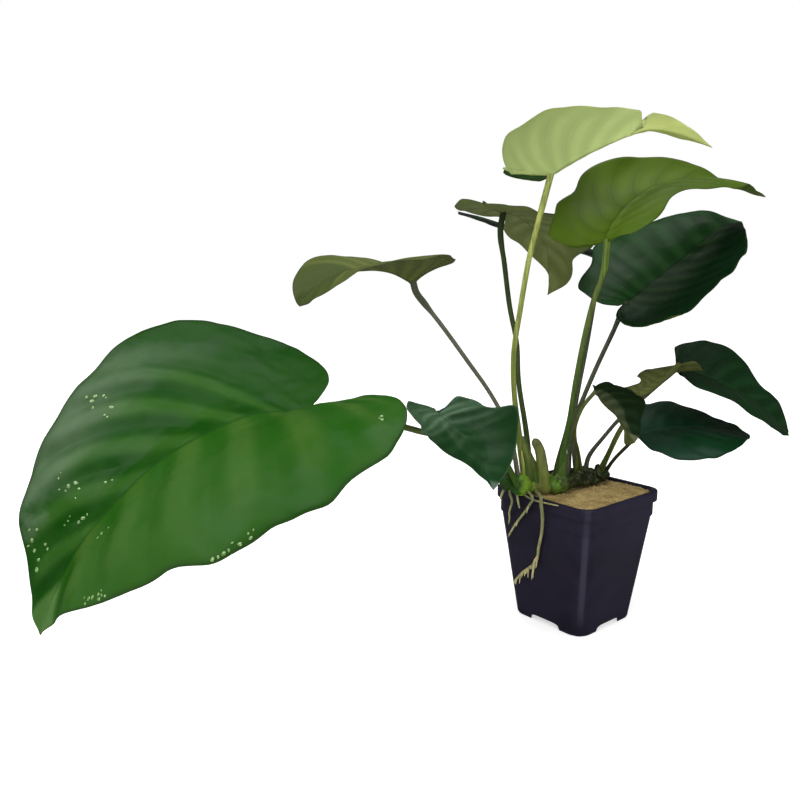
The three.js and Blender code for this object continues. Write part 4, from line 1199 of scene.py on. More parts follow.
# %% The leaf table
LEAVES = {
    "top_leaf": dict(
        seat=(-28, 11, 326), heading=-71, pitch=29, roll=74, length=97,
        widths=((9, 14, 16, 27, 61), (9, 12, 22, 36, 52)), lobe=(32, 34), lobe_place=(66, 14),
        notch=2, notch_open=0.57, arch=42, tip_drop=55, lobe_droop=32,
        fold=(-67, 150), cup=(44, -78), twist=3,
        stalk=((-41, 16, 112), (-44, 20, 144), (-47, 23, 176), (-47, 24, 203), (-44, 22, 231),
            (-39, 19, 269), (-35, 15, 294), (-28, 11, 326)),
        stalk_radii=(2.75, 1.89), stalk_look="light", stalk_slot="stalk_light", joint=0.2,
        veins=7, slant=(0.3, 0.3), puff=0.25, groove=0.4, wavy=0.8, soft=1.5, rib_side=1, seed=1,
        skins=("plain", "plain", "pale", "pale"), slot="leaf_pale", uneven=0.6,
        nicks=((1, 0.285, 11, 0.012), (1, 1.0, 12, 0.09), (0, 0.98, -9, 0.035)),
    ),
    "upper_right_leaf": dict(
        seat=(-14, -28, 282), heading=17, pitch=41, roll=-41, length=200,
        widths=((27, 41, 47, 52, 47), (8, 28, 34, 26, 30)), lobe=(4, 3), lobe_place=(33, 2),
        notch=2, notch_open=0.53, arch=76, tip_drop=-7, lobe_droop=-109,
        fold=(15, -8), cup=(82, -56), twist=15,
        stalk=((-17, 4, 107), (-17, 1, 129), (-17, -4, 153), (-19, -10, 183), (-20, -17, 216),
            (-18, -22, 241), (-15, -27, 261), (-14, -28, 282)),
        stalk_radii=(3.59, 1.95), stalk_look="green", stalk_slot="stalk_green", joint=0.2,
        veins=9, slant=(0.3, 0.3), puff=0.4, groove=0.6, wavy=0.9, soft=2, rib_side=-1, seed=2,
        skins=("olive", "olive", "olive", "olive"), slot="leaf_olive", uneven=0.6,
        nicks=((0, 0.657, 4, 0.03), (0, 0.73, -3, 0.03)),
    ),
    "dark_back_leaf": dict(
        seat=(45, -5, 237), heading=-11, pitch=28, roll=33, length=142,
        widths=((29, 43, 60, 72, 51), (12, 30, 52, 60, 65)), lobe=(19, 44), lobe_place=(19, 45),
        notch=2, notch_open=0.12, arch=-11, tip_drop=20, lobe_droop=99,
        fold=(3, 11), cup=(-28, 43), twist=-7,
        stalk=((9, 7, 107), (8, 10, 130), (11, 12, 148), (18, 8, 171), (27, 4, 193), (35, -1, 214),
            (40, -4, 228), (45, -5, 237)),
        stalk_radii=(2.58, 1.72), stalk_look="dark", stalk_slot="stalk_dark", joint=0.2,
        veins=9, slant=(0.1, 0.35), puff=0.25, groove=0.3, wavy=0.8, soft=8, rib_side=1, seed=3,
        skins=("dark_sheen", "dark_low", "olive", "olive"), slot="leaf_dark", uneven=1.0,
    ),
    "hanging_leaf": dict(
        seat=(-23, 59, 304), heading=8, pitch=-2, roll=21, length=124,
        widths=((1, 26, 34, 25, 43), (19, 23, 46, 49, 47)), lobe=(27, 27), lobe_place=(20, 22),
        notch=29, notch_open=0.01, arch=54, tip_drop=13, lobe_droop=69,
        fold=(-11, 15), cup=(-17, 1), twist=6,
        stalk=((-32, 18, 109), (-32, 23, 141), (-30, 34, 180), (-25, 41, 206), (-24, 50, 234),
            (-25, 55, 264), (-25, 60, 289), (-23, 59, 304)),
        stalk_radii=(2.3, 1.9), stalk_look="forest", stalk_slot="stalk_dark", joint=0.2,
        veins=7, slant=(0.25, 0.25), puff=0.4, groove=0.5, wavy=0.8, soft=2, rib_side=1, seed=4,
        skins=("plain", "plain", "dull", "dull"), slot="leaf_olive", uneven=0.6,
    ),
    "left_arching_leaf": dict(
        seat=(-134, 34, 255), heading=151, pitch=30, roll=9, length=98,
        widths=((7, 15, 24, 26, 67), (5, 17, 29, 17, 25)), lobe=(7, 5), lobe_place=(54, 25),
        notch=2, notch_open=0.39, arch=100, tip_drop=-15, lobe_droop=71,
        fold=(21, 23), cup=(-29, -36), twist=-56,
        stalk=((-47, 16, 109), (-60, 15, 149), (-76, 18, 176), (-93, 23, 199), (-113, 30, 226),
            (-125, 33, 240), (-131, 34, 247), (-134, 34, 255)),
        stalk_radii=(1.9, 1.5), stalk_look="grey", stalk_slot="stalk_dark", joint=0.5,
        veins=8, slant=(0.25, 0.25), puff=0.3, groove=0.5, wavy=0.4, soft=2, rib_side=1, seed=5,
        skins=("grey", "grey", "grey", "grey"), slot="leaf_olive", uneven=0.6,
    ),
    "big_front_leaf": dict(
        seat=(-238, 3, 185), heading=168, pitch=-3, roll=-13, length=189,
        widths=((18, 46, 73, 92, 98), (19, 48, 72, 95, 100)), lobe=(35, 29), lobe_place=(58, 37),
        notch=4, notch_open=0.15, arch=71, tip_drop=0, lobe_droop=75,
        fold=(39, 7), cup=(-61, 10), twist=-39,
        stalk=((-52, 13, 108), (-74, 10, 134), (-103, 11, 148), (-144, 12, 160), (-162, 11, 166),
            (-238, 3, 185)),
        stalk_radii=(2.2, 2), stalk_look="green", stalk_slot="stalk_green", joint=0.2,
        veins=7, slant=(0.12, 0.45), puff=1.7, groove=0.2, wavy=1.6, soft=26, rib_side=1, seed=6,
        skins=("bright_near", "bright", "olive", "olive"), slot="leaf_bright", uneven=1.1, last=0.95,
        nicks=((1, 1.13, 6, 0.06), (1, 1.21, 5, 0.05), (0, 1.17, -5, 0.06), (0, 0.42, 2.5, 0.035),
            (0, 0.5, -2.2, 0.03), (0, 0.6, 2.6, 0.035), (0, 0.7, -3.4, 0.028), (0, 0.79, -3.6, 0.034)),
    ),
    "low_front_leaf": dict(
        seat=(-136, 7, 172), heading=-77, pitch=-40, roll=69, length=68,
        widths=((12, 26, 42, 29, 22), (3, 24, 42, 40, 29)), lobe=(0, 13), lobe_place=(6, 17),
        notch=2, notch_open=0.08, arch=-29, tip_drop=-10, lobe_droop=-20,
        fold=(-19, 63), cup=(64, 23), twist=-17,
        stalk=((-54, 20, 108), (-74, 11, 144), (-103, 9, 166), (-136, 7, 172)),
        stalk_radii=(1.8, 1.5), stalk_look="dark", stalk_slot="stalk_dark", joint=0.2,
        veins=8, slant=(0.25, 0.25), puff=0.2, groove=0.05, wavy=0.6, soft=18, rib_side=1, seed=7,
        skins=("teal", "teal", "grey", "grey"), slot="leaf_dark", uneven=0.6,
        ridges=((0, 0.8, 2.5, 0.05),),
    ),
    "right_arching_leaf": dict(
        seat=(81, -29, 186), heading=-50, pitch=-11, roll=33, length=111,
        widths=((25, 25, 46, 54, 44), (18, 31, 41, 40, 41)), lobe=(1, 2), lobe_place=(13, 9),
        notch=1, notch_open=0.09, arch=49, tip_drop=-5, lobe_droop=64,
        fold=(-7, 31), cup=(-2, -13), twist=13,
        stalk=((14, 3, 106), (18, 4, 119), (29, -1, 134), (42, -8, 150), (58, -18, 166), (81, -29, 186)),
        stalk_radii=(1.9, 1.5), stalk_look="purple", stalk_slot="stalk_dark", joint=0.2,
        veins=8, slant=(0.3, 0.3), puff=0.3, groove=0.5, wavy=0.6, soft=2, rib_side=1, seed=8,
        skins=("dark", "dark", "grey", "grey"), slot="leaf_dark", uneven=0.6,
    ),
    "small_olive_leaf": dict(
        seat=(9, -44, 175), heading=-11, pitch=22, roll=-37, length=57,
        widths=((36, 31, 29, 16, 18), (8, 7, 17, 18, 12)), lobe=(1, 5), lobe_place=(18, 8),
        notch=2, notch_open=0.44, arch=-13, tip_drop=16, lobe_droop=5,
        fold=(41, -36), cup=(-7, 64), twist=-17,
        stalk=((29, 2, 104), (25, -9, 123), (13, -26, 145), (9, -37, 160), (9, -44, 175)),
        stalk_radii=(2.6, 1.9), stalk_look="leaf_olive", stalk_slot="stalk_green", joint=0.3,
        veins=7, slant=(0.3, 0.3), puff=0.3, groove=0.4, wavy=0.4, soft=1.5, rib_side=-1, seed=9,
        skins=("soft", "soft", "soft", "soft"), slot="leaf_olive", uneven=0.6,
    ),
    "low_right_leaf": dict(
        seat=(42, -22, 138), heading=-32, pitch=12, roll=19, length=99,
        widths=((13, 19, 41, 39, 37), (14, 28, 42, 48, 45)), lobe=(6, 3), lobe_place=(6, 3),
        notch=5, notch_open=0.12, arch=33, tip_drop=-1, lobe_droop=60,
        fold=(9, 17), cup=(-16, -29), twist=-1,
        stalk=((37, 3, 103), (38, -6, 117), (41, -18, 132), (42, -22, 138)),
        stalk_radii=(1.9, 1.4), stalk_look="brown", stalk_slot="stalk_dark", joint=0.2,
        veins=7, slant=(0.4, 0.4), puff=0.3, groove=0.4, wavy=0.6, soft=4, rib_side=1, seed=10,
        skins=("dark_blue", "dark_blue", "grey", "grey"), slot="leaf_dark", uneven=0.6,
    ),
    "folded_young_leaf": dict(
        seat=(-19, -27, 178), heading=-35, pitch=-38, roll=-46, length=47,
        widths=((15, 11, 11, 18, 18), (7, 13, 28, 29, 27)), lobe=(1, 4), lobe_place=(3, 8),
        notch=1, notch_open=0.07, arch=51, tip_drop=-3, lobe_droop=0,
        fold=(76, -2), cup=(-46, -45), twist=-31,
        stalk=((7, 1, 106), (-5, -4, 128), (-16, -9, 141), (-25, -16, 154), (-25, -22, 168),
            (-19, -27, 178)),
        stalk_radii=(1.5, 1.2), stalk_look="young", stalk_slot="stalk_light", joint=0.2,
        veins=6, slant=(0.3, 0.3), puff=0.2, groove=0.3, wavy=0.3, soft=1, rib_side=1, seed=11,
        skins=("plain", "plain", "soft", "inner"), slot="leaf_dark", uneven=0.6,
    ),
    "rear_leaf": dict(
        seat=(123, 78, 272), heading=114, pitch=15, roll=9, length=141,
        widths=((40, 54, 49, 52, 32), (6, 32, 47, 55, 46)), lobe=(11, 6), lobe_place=(25, 57),
        notch=7, notch_open=0.1, arch=-4, tip_drop=2, lobe_droop=11,
        fold=(2, -2), cup=(-10, 10), twist=-2,
        stalk=((1, 9, 105), (13, 18, 123), (48, 40, 154), (102, 71, 200), (120, 78, 242), (123, 78, 272)),
        stalk_radii=(1.9, 1.5), stalk_look="dark", stalk_slot="stalk_dark", joint=0.2,
        veins=6, slant=(0.3, 0.3), puff=0.2, groove=0.3, wavy=0.4, soft=1, rib_side=1, seed=12,
        skins=("dark", "dark", "rear", "rear"), slot="leaf_dark", uneven=0.6,
    ),
}
print("leaves in the table:", len(LEAVES))

# %% [markdown]
# The outline of a half starts at the tip, follows the half widths back to the lobe and turns into the
# notch, as a smooth curve through them. Nicks and bulges are pushed into it along its normals.

# %% The flat heart
# Shares of the length at which the half widths are given, and the spans from the tip to the lobe
STATION_SHARES = (0.88, 0.72, 0.52, 0.32, 0.12)
TO_LOBE = 7


def half_outline(leaf, half, steps):
    """The margin of one half, from the tip round the lobe into the notch."""
    widths, back, out = leaf["widths"][half], leaf["lobe"][half], leaf["lobe_place"][half]
    deep = leaf["notch"] + 0.4 * (back - leaf["notch"])
    marks = [(leaf["length"], 0)]
    marks += [(share * leaf["length"], width) for share, width in zip(STATION_SHARES, widths)]
    marks += [(-0.55 * back, out + 0.62 * (widths[-1] - out)), (-back, out)]
    marks += [(-deep, leaf["notch_open"] * out), (-leaf["notch"], 0)]
    edge = smooth_path([(x, y, 0) for x, y in marks], steps)[:, :2]
    way = np.gradient(edge, axis=0)
    way /= np.linalg.norm(way, axis=1)[:, None] + 1e-9
    inward = np.stack([-way[:, 1], way[:, 0]], -1)
    at = np.arange(len(edge)) / (TO_LOBE * steps)
    off_tip = np.clip(at * 20, 0, 1)[:, None]
    for side, where, depth, width in leaf.get("nicks", ()):
        if side == half:
            edge += inward * depth * np.exp(-(((at - where) / width) ** 2))[:, None] * off_tip
    edge[[0, -1], 1] = 0
    edge[1:-1, 1] = np.maximum(edge[1:-1, 1], 0.3)
    return edge


print("half outline of the big leaf has", len(half_outline(LEAVES["big_front_leaf"], 0, 8)), "points")

# %% [markdown]
# Every bend is a circular arc, so lengths on the flat heart stay true: the midrib is an arc forwards,
# and each half is an arc sideways on top of it. The crease where the halves meet would look cut with a
# knife, so it is rounded by averaging a few places across it.

# %% Shaping a blade
def chord(length, start, bend):
    """Where an arc of this length ends that starts at one angle and turns by another."""
    half = bend / 2
    reach = length * np.sinc(half / np.pi)
    return reach * np.cos(start + half), reach * np.sin(start + half)


def shaped(leaf, along, out):
    """Points of the flat heart in the leaf's own shape; out counts to the left half."""
    length = leaf["length"]
    left = out >= 0
    bend = np.where(along < 0, np.radians(leaf["lobe_droop"]), -np.radians(leaf["arch"])) * along / length
    forward, rise = chord(along, 0, bend)
    tip_share = np.clip((along / length - 0.65) / 0.35, 0, 1)
    reach = np.abs(out)
    cups = [np.radians(leaf["cup"][half]) / max(leaf["widths"][half]) for half in (0, 1)]
    cup = np.where(left, *cups) * reach
    side, lift = chord(reach, np.where(left, *np.radians(leaf["fold"])), cup)
    side = np.where(left, side, -side)
    turn = np.radians(leaf["twist"]) * np.maximum(along, 0) / length
    side, lift = side * np.cos(turn) - lift * np.sin(turn), side * np.sin(turn) + lift * np.cos(turn)
    z = rise - leaf["tip_drop"] * tip_share**2 + lift * np.cos(bend)
    return np.stack([forward - lift * np.sin(bend), side, z], -1)


def placed_blade(leaf, points):
    """Rolls, pitches and heads the blade, then moves it to its seat."""
    roll, pitch, heading = (np.radians(leaf[k]) for k in ("roll", "pitch", "heading"))
    x, y, z = points[..., 0], points[..., 1], points[..., 2]
    y, z = y * np.cos(roll) - z * np.sin(roll), y * np.sin(roll) + z * np.cos(roll)
    x, z = x * np.cos(pitch) - z * np.sin(pitch), x * np.sin(pitch) + z * np.cos(pitch)
    x, y = x * np.cos(heading) - y * np.sin(heading), x * np.sin(heading) + y * np.cos(heading)
    return np.stack([x, y, z], -1) + np.asarray(leaf["seat"], float)


# Where the averaging across the midrib looks, as a share of the softness, and with what weight
TAPS = ((-1.6, 0.12), (-0.8, 0.23), (0, 0.3), (0.8, 0.23), (1.6, 0.12))


def soft_blade(leaf, along, out, share, softness):
    """The placed blade, with the sharp crease along the midrib rounded by averaging across it."""
    spread = softness * (1 - share) ** 2
    return sum(weight * placed_blade(leaf, shaped(leaf, along, out + tap * spread)) for tap, weight in TAPS)


print("blades can be shaped")

# %% [markdown]
# A half becomes a grid of rows from the midrib to the margin. The relief moves its points along their
# normals. Side veins lean to the tip, so the count of veins grows across a row, and the same count goes
# into the leaf's map for the skins. That way the colours sit exactly on the swellings.

# %% Grid of one half
HalfGrid = namedtuple("HalfGrid", "surface normal counted share along across")


def half_surface(leaf, half, steps, columns):
    """Grid of one half: places, normals, vein count, share across, and its place on the flat heart."""
    edges = [half_outline(leaf, side, steps) for side in (0, 1)]
    edge, narrow = edges[half], np.minimum(edges[0][:, 1:], edges[1][:, 1:])
    row = np.arange(len(edge))
    foot = leaf["length"] * np.clip(1 - row / (TO_LOBE * steps), 0, 1) ** 1.6
    share = np.linspace(0, 1, columns + 1)[None, :]
    along = foot[:, None] * (1 - share) + edge[:, :1] * share
    out = edge[:, 1:] * share * (1 if half == 0 else -1)
    softness = np.minimum(leaf["soft"], 0.4 * narrow) * smooth_step(0, 0.2, foot / leaf["length"])[:, None]

    def step_by(ahead, aside):
        return soft_blade(leaf, along + ahead, out + aside, share, softness)

    surface = step_by(0, 0)
    normal = np.cross(step_by(0.4, 0) - step_by(-0.4, 0), step_by(0, 0.4) - step_by(0, -0.4))
    normal /= np.linalg.norm(normal, axis=-1)[..., None]
    count = (row / (TO_LOBE * steps))[:, None] / (1 - leaf["slant"][half] * share)
    return HalfGrid(surface, normal, count, np.broadcast_to(share, count.shape), along, np.abs(out))


rough_grid = half_surface(LEAVES["big_front_leaf"], 0, 4, 8)
print("a rough grid of the big leaf has", rough_grid.counted.size, "points")

# %% Surface relief
def bell(distance, width):
    return np.exp(-((distance / width) ** 2))


def relief_of(leaf, half, count, share):
    """How far the surface stands up or sinks, in millimetres."""
    between = 0.5 - 0.5 * np.cos(2 * np.pi * count * leaf["veins"])
    spread = np.clip(4 * share * (1 - share), 0, 1) ** 0.6
    fade = smooth_step(0.02, 0.2, count) * (1 - smooth_step(1.05, 1.5, count))
    calm = 1
    if "last" in leaf:
        fade = fade * (1 - 0.85 * smooth_step(leaf["last"] - 0.2, leaf["last"] + 0.1, count))
        calm = 1 - smooth_step(0.85, 1.1, count)
    puff = leaf["puff"] * between**0.7 * spread * fade
    groove = -leaf["groove"] * bell(share, 0.035) * smooth_step(0, 0.1, count)
    # Two waves of unlike length along the margin, shifted by the seed so that no two leaves match
    shift = leaf["seed"] * 1.7 + half * 2.1
    wave = np.sin(2 * np.pi * 3.1 * count + shift) + 0.6 * np.sin(2 * np.pi * 5.3 * count + 2 * shift)
    margin = leaf["wavy"] * share**3 * wave * smooth_step(0.0, 0.15, count) * calm
    ridge = 0
    for side, at, height, width in leaf.get("ridges", ()):
        if side == half:
            ridge = ridge + height * bell(count - at, width) * np.clip(3 * share, 0, 1)
    return puff + groove + margin + ridge


def uneven(surface, amount):
    """Gentle hollows and swellings all over, about as wide as a fingertip."""
    flat = surface.reshape(-1, 3)
    lumps = [noise.noise(Vector(place) * 0.055) + 0.4 * noise.noise(Vector(place) * 0.13) for place in flat]
    return amount * np.array(lumps).reshape(surface.shape[:-1])


def full_relief(leaf, half, surface, count, share):
    return relief_of(leaf, half, count, share) + uneven(surface, leaf["uneven"])


print("relief ready")

# %% [markdown]
# A blade is four sheets, an upper and a lower one for each half. They share their points along the
# midrib, in the notch and at the tip, so the blade is one closed mesh without slits. Points in the
# margin are not shared: a narrow strip of faces joins the sheets there and makes a thin edge. The map
# belongs to the corners of the faces, because both halves meet in the midrib with their own maps.

# %% Sheets of one half
def blade_sheets(leaf, half, grid, seam, end, steps):
    """The upper and lower sheet of one half, meeting thinly at the margin."""
    surface, normal, count, share, along, across = grid
    pole = TO_LOBE * steps
    # Both halves take the same normals and relief where they meet
    normal = normal.copy()
    normal[:, 0] = seam
    normal[-1] = end
    normal[pole:, 0] = seam[pole]
    normal[0] = seam[1]
    normal /= np.linalg.norm(normal, axis=-1)[..., None]
    relief = full_relief(leaf, half, surface, count, share)
    relief[:, 0] = full_relief(leaf, 0, surface[:, :1], count, share)[:, 0]
    relief[pole:, 0] = relief[pole, 0]
    relief[-1] = relief[pole, 0]
    relief[0] = 0
    side = leaf["rib_side"]
    middle = surface + normal * (side * relief)[..., None]
    thin = np.sqrt(np.clip(1 - share**8, 0, 1)) * 0.36 + 0.04
    left_over = np.clip(1 - along / leaf["length"], 0, 1)
    rib = 1.5 * bell(across, 1.6 + 1.2 * left_over) * left_over**0.7
    rib *= smooth_step(-leaf["notch"] - 1, 2, along)
    thin[:, -1] = 0.05
    rib[:, -1] = 0
    top = middle + normal * (thin + (rib if side < 0 else 0))[..., None]
    under = middle - normal * (thin + (rib if side > 0 else 0))[..., None]
    top[0], under[0] = top[0, 0], under[0, 0]
    return top, under


print("sheets can be made")

# %% Building one blade
def build_blade(name, leaf, steps, columns, skins):
    """Both halves' sheets, sewn along the midrib, the notch and the tip by sharing their points."""
    grids = [half_surface(leaf, half, steps, columns) for half in (0, 1)]
    seam = grids[0].normal[:, 0] + grids[1].normal[:, 0]
    end = grids[0].normal[-1] + grids[1].normal[-1]
    rows, width = grids[0].share.shape
    points = np.array([blade_sheets(leaf, half, grid, seam, end, steps) for half, grid in enumerate(grids)])
    # own numbers every point by half, sheet, row and column; shared names the point it is sewn to
    own = np.arange(4 * rows * width).reshape(2, 2, rows, width)
    shared, pole = own.copy(), TO_LOBE * steps
    shared[:, :, 0] = own[:1, :, 0, :1]
    shared[0, :, pole:, 0] = own[0, :, pole, :1]
    shared[1, :, :, 0] = shared[0, :, :, 0]
    shared[1, :, -1] = shared[0, :, -1]
    faces, face_skins, corners = [], [], []

    def add_face(spots, turned, skin):
        kept = {}
        for spot in spots[::-1] if turned else spots:
            kept.setdefault(int(shared[spot]), int(own[spot]))
        if len(kept) > 2:
            faces.append(tuple(kept))
            corners.extend(kept.values())
            face_skins.append(skin)

    for half in (0, 1):
        for side in (0, 1):
            for i in range(rows - 1):
                for j in range(columns):
                    square = ((i, j), (i, j + 1), (i + 1, j + 1), (i + 1, j))
                    add_face([(half, side, *spot) for spot in square], half != side, 2 * side + half)
        for i in range(rows - 1):
            strip = ((0, i), (1, i), (1, i + 1), (0, i + 1))
            add_face([(half, *spot, columns) for spot in strip], half == 1, 2 + half)
    used = sorted({spot for face in faces for spot in face})
    number = {spot: i for i, spot in enumerate(used)}
    faces = [tuple(number[spot] for spot in face) for face in faces]
    blade = make_piece(name, points.reshape(-1, 3)[used], faces, skins)
    blade.data.polygons.foreach_set("material_index", np.array(face_skins, np.int32))
    maps = []
    for half, grid in enumerate(grids):
        sideways = 0.5 + 0.5 * grid.share * (1 - 2 * half)
        maps += [np.stack([sideways, grid.counted * leaf["veins"]], -1)] * 2
    maps = np.array(maps).reshape(-1, 2)
    layer = blade.data.uv_layers.new(name="leaf_map")
    layer.uv.foreach_set("vector", maps[corners].astype(np.float32).ravel())
    blade.data.shade_smooth()
    return blade


# Steps between two marks of the outline and columns across a half, finer for the two nearest leaves
FINE_GRIDS, PLAIN_GRID = {"big_front_leaf": (16, 44), "top_leaf": (16, 28)}, (10, 24)
for name, leaf in LEAVES.items():
    skins = [SKINS[skin] for skin in leaf["skins"]]
    blade = build_blade(name + "_blade", leaf, *FINE_GRIDS.get(name, PLAIN_GRID), skins)
    hand_in(blade, name)
    print(name, "has", len(blade.data.polygons), "faces")

# %% [markdown]
# ## Stalks
# A stalk is a smooth path from a socket in the rhizome to the seat of its blade. It is swollen at its
# base, where a sheath once wrapped it, and slightly thicker in the joint below the blade. The stem tree
# sweeps each one.

# %% Stalks
# Dry sheaths that still stand at the foot of a stalk: their paths, and their radius at the rhizome
SHEATHS = {
    "top_leaf": [
        (((-33, 8, 107), (-35.8, 9.8, 118.7), (-39.8, 12.5, 130), (-42, 15.5, 141)), 2.6, "young"),
        (((-41, 14, 108), (-40, 13.5, 118), (-41.5, 15, 130), (-43, 17.5, 142)), 5.4, "leaf_olive"),
        (((-36, 9.5, 108), (-37.5, 11, 118), (-40, 13, 128), (-42, 15.5, 136)), 3.4, "green"),
        (((-46, 13, 109), (-45, 14, 120), (-45, 16, 132)), 2.2, "light"),
    ],
    "upper_right_leaf": [
        (((-20, 5, 106), (-19.5, 3.5, 120), (-19, 1, 133), (-18.5, -2, 146)), 2.6, "forest"),
        (((-17, 2.5, 105), (-16.5, 2, 114), (-16, 1, 124), (-15.5, 0, 134)), 5.6, "green"),
    ],
    "dark_back_leaf": [(((6, 4, 106), (4, 3, 114), (3, 3, 123)), 3.4, "leaf_olive")],
}
# Share of the stalk over which its swollen base thins out, and where the joint swells
BASE_SHARE, JOINT_RISE = 0.3, (0.84, 0.9)

for name, leaf in LEAVES.items():
    base, top = leaf["stalk_radii"]

    def stalk_radius(share, base=base, top=top, joint=leaf["joint"]):
        swell = float(smooth_step(0, BASE_SHARE, BASE_SHARE - share))
        return (top + (base - top) * swell) * (1 + joint * float(smooth_step(*JOINT_RISE, share)))

    skin = STALK_SKINS[leaf["stalk_look"]]
    parts = [grow_stem(name + "_stem", leaf["stalk"], stalk_radius, skin, 1.5, 18)]
    for i, (places, radius, look) in enumerate(SHEATHS.get(name, ())):
        def sheath_radius(share, radius=radius):
            return radius * (1 - 0.8 * share)

        parts.append(grow_stem(f"sheath_{i}", places, sheath_radius, STALK_SKINS[look], 1.5, 14))
    hand_in(join_pieces(parts, name + "_stem"), name + "_stalk")
print("stalks grown:", len(LEAVES))

# %% [markdown]
# ## Water drops
# The plant was lifted out of water, so drops cling to the big leaf. Each drop is a flattened dome on
# the leaf's surface. They are placed on the leaf's own grid, a few round each spot of a short list, so
# that they lie on the relief and stand along its normals.

# %% Drops
# Spots of each half: share of the way from the tip to the lobe, and share across
DROPS = {
    1: (
        (0.45, 0.85), (0.46, 0.77), (0.46, 0.67), (0.31, 0.7), (0.3, 0.58), (0.3, 0.5), (0.33, 0.28),
        (0.24, 0.43), (0.24, 0.28), (0.21, 0.92), (0.2, 0.83), (0.17, 0.75), (0.19, 0.62),
    ),
    0: (
        (0.25, 0.23), (0.23, 0.93), (0.26, 0.92), (0.28, 0.93), (0.54, 0.98), (0.56, 0.98), (0.51, 0.98),
        (0.87, 0.82),
    ),
}
DROP_SIZE, DROPS_EACH = 0.9, 3
big = LEAVES["big_front_leaf"]
steps, columns = FINE_GRIDS["big_front_leaf"]
chance = np.random.default_rng(11)
places, ups, sizes = [], [], []
for half, spots in DROPS.items():
    grid = half_surface(big, half, steps, columns)
    relief = full_relief(big, half, grid.surface, grid.counted, grid.share)
    for row_share, share in np.repeat(spots, DROPS_EACH, axis=0):
        i = round((row_share + 0.012 * chance.normal()) * TO_LOBE * steps)
        j = round((share + 0.02 * chance.normal()) * columns)
        spot = int(np.clip(i, 1, len(relief) - 2)), int(np.clip(j, 1, columns - 1))
        places.append(grid.surface[spot] + grid.normal[spot] * (relief[spot] + 0.3))
        ups.append(grid.normal[spot])
        sizes.append(DROP_SIZE * (0.5 + 0.7 * chance.random()))
print("drops placed:", len(places))

# %% One drop, copied
def from_lowest(face):
    """The corners of a face, counted from the lowest number on."""
    numbers = [vertex.index for vertex in face.verts]
    start = numbers.index(min(numbers))
    return numbers[start:] + numbers[:start]


# A ball cut off below its middle, closed, stretched along and flattened
work = bmesh.new()
bmesh.ops.create_uvsphere(work, u_segments=18, v_segments=12, radius=0.001)
bmesh.ops.delete(work, geom=[v for v in work.verts if v.co.z < -0.0002], context="VERTS")
bmesh.ops.holes_fill(work, edges=work.edges)
for vertex in work.verts:
    vertex.co.x *= 1.3
    vertex.co.z *= 0.6
bmesh.ops.recalc_face_normals(work, faces=work.faces)
work.verts.index_update()
# The faces of such a ball come in another order on each run, so they are sorted
dome = bpy.data.meshes.new("drop")
dome.from_pydata([vertex.co for vertex in work.verts], [], sorted(map(from_lowest, work.faces)))
work.free()
drop = bpy.data.objects.new("drop", dome)
drops = put_bits("water_drops", drop, places, ups, sizes, 7, water_skin)
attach(drops, "root")
print("drops have", len(drops.data.polygons), "faces")

# %% [markdown]
# ## Light, floor and camera
# The plant is shown as on a photographer's light table. The floor is a wide white disc that shines a
# little by itself, so that it melts into the white behind it and leaves only a faint shadow. To mirror
# rays it looks darker, because black flags stand round such a table to keep wet leaves from going grey.

# %% White floor
floor_radius, floor_drop, floor_sides = 9000, 0.2, 96
white_to_eyes, white_to_mirrors = (0.8, 0.8, 0.8, 1), (0.15, 0.15, 0.15, 1)
floor_skin, tree, shader = start_skin("floor_white", 0.9, 0.0)
seen = add_node(tree, "ShaderNodeLightPath").outputs
paint(tree, shader, mixed(tree, seen["Is Glossy Ray"], white_to_eyes, white_to_mirrors))
shader.inputs["Emission Color"].default_value = (1, 1, 1, 1)
glow = maths(tree, "MULTIPLY_ADD", seen["Is Camera Ray"], 0.58, 0.02)
tree.links.new(glow, shader.inputs["Emission Strength"])
turns = np.linspace(0, 2 * math.pi, floor_sides, endpoint=False)
disc = [(floor_radius * math.cos(a), floor_radius * math.sin(a), -floor_drop) for a in turns]
floor = make_piece("white_floor", disc, [range(floor_sides)], [floor_skin])
floor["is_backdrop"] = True
print("floor is", 2 * floor_radius / 1000, "m across")

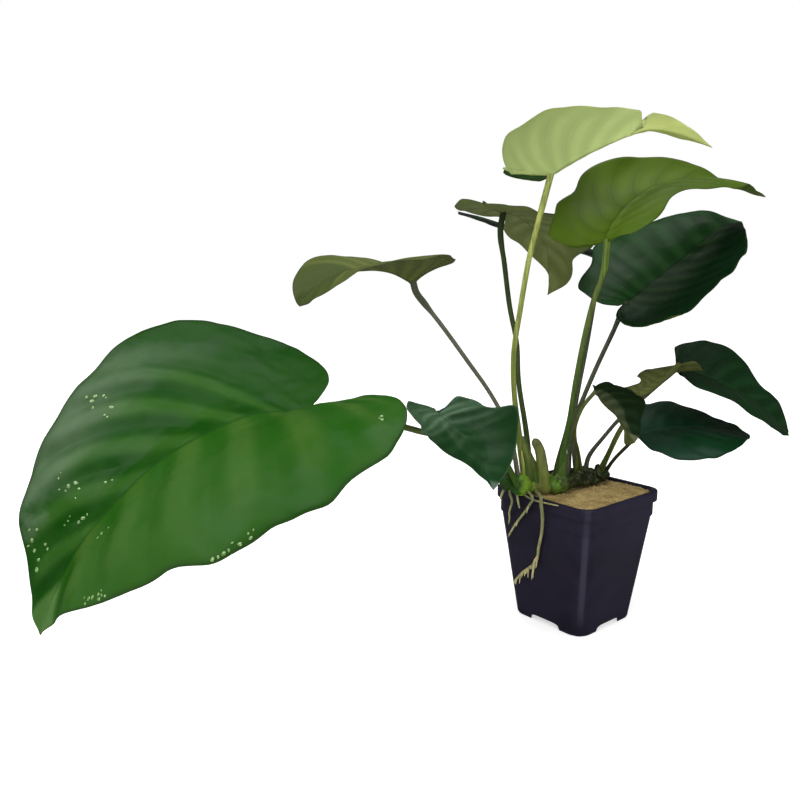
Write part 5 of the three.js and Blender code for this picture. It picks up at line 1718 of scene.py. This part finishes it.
# %% [markdown]
# Three soft square lights stand round the pot, counted from it as the camera sees it: a strong one
# high on the left, one above and a weak one low on the right. The world is white for the camera and
# half as bright for everything else, and darkest in mirrors.

# %% Lights
# The camera's heading and tilt in degrees; the lights are placed along the same heading
HEADING, TILT = 40, 9.83
away_way = np.array([math.sin(math.radians(HEADING)), math.cos(math.radians(HEADING))])
right_way = np.array([away_way[1], -away_way[0]])
lit_place = in_frame([-60, 0, 200])
# Name, place to the right, away and up in metres, side in metres and power in watts
LIGHTS = (
    ("key_light", (-1.1, -0.9, 1.7), 1.5, 26),
    ("top_light", (0.3, 0.3, 1.9), 1.4, 16),
    ("front_light", (0.9, -1.6, 1.0), 1.2, 7),
)
for name, (right, away, up), size, power in LIGHTS:
    data = bpy.data.lights.new(name, "AREA")
    data.shape = "SQUARE"
    data.size = size
    data.energy = power
    light = link_object(name, data)
    place = in_frame([0, 0, 0]) + np.array([*(right_way * right + away_way * away), up])
    light.location = place
    light.rotation_euler = (Vector(lit_place) - Vector(place)).to_track_quat("-Z", "Y").to_euler()
world = bpy.data.worlds.new("studio")
bpy.context.scene.world = world
world.use_nodes = True
tree = world.node_tree
background = tree.nodes["Background"]
background.inputs["Color"].default_value = (1, 1, 1, 1)
seen = add_node(tree, "ShaderNodeLightPath").outputs
to_others = maths(tree, "MULTIPLY_ADD", seen["Is Glossy Ray"], -0.47, 0.55)
brightness = maths(tree, "MAXIMUM", seen["Is Camera Ray"], to_others)
tree.links.new(brightness, background.inputs["Strength"])
bpy.context.scene.view_settings.view_transform = "Standard"
print("lights:", [light[0] for light in LIGHTS])

# %% [markdown]
# The camera's place and angle were worked out from the corners of the pot in the picture. A lens of 36
# mm on a film 36 mm wide gives the same perspective.

# %% Camera
camera_data = bpy.data.cameras.new("camera")
camera_data.lens = 36
camera_data.sensor_width = 36
camera = link_object("camera", camera_data)
camera.location = in_frame([-474.7, -359.3, 266.8])
camera.rotation_euler = (math.radians(90 - TILT), 0, math.radians(-HEADING))
bpy.context.scene.camera = camera
print("camera at", [round(c, 3) for c in camera.location])

# %% Sizes and finish
sizes = {"cad": cad_bounds, "visual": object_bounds()}
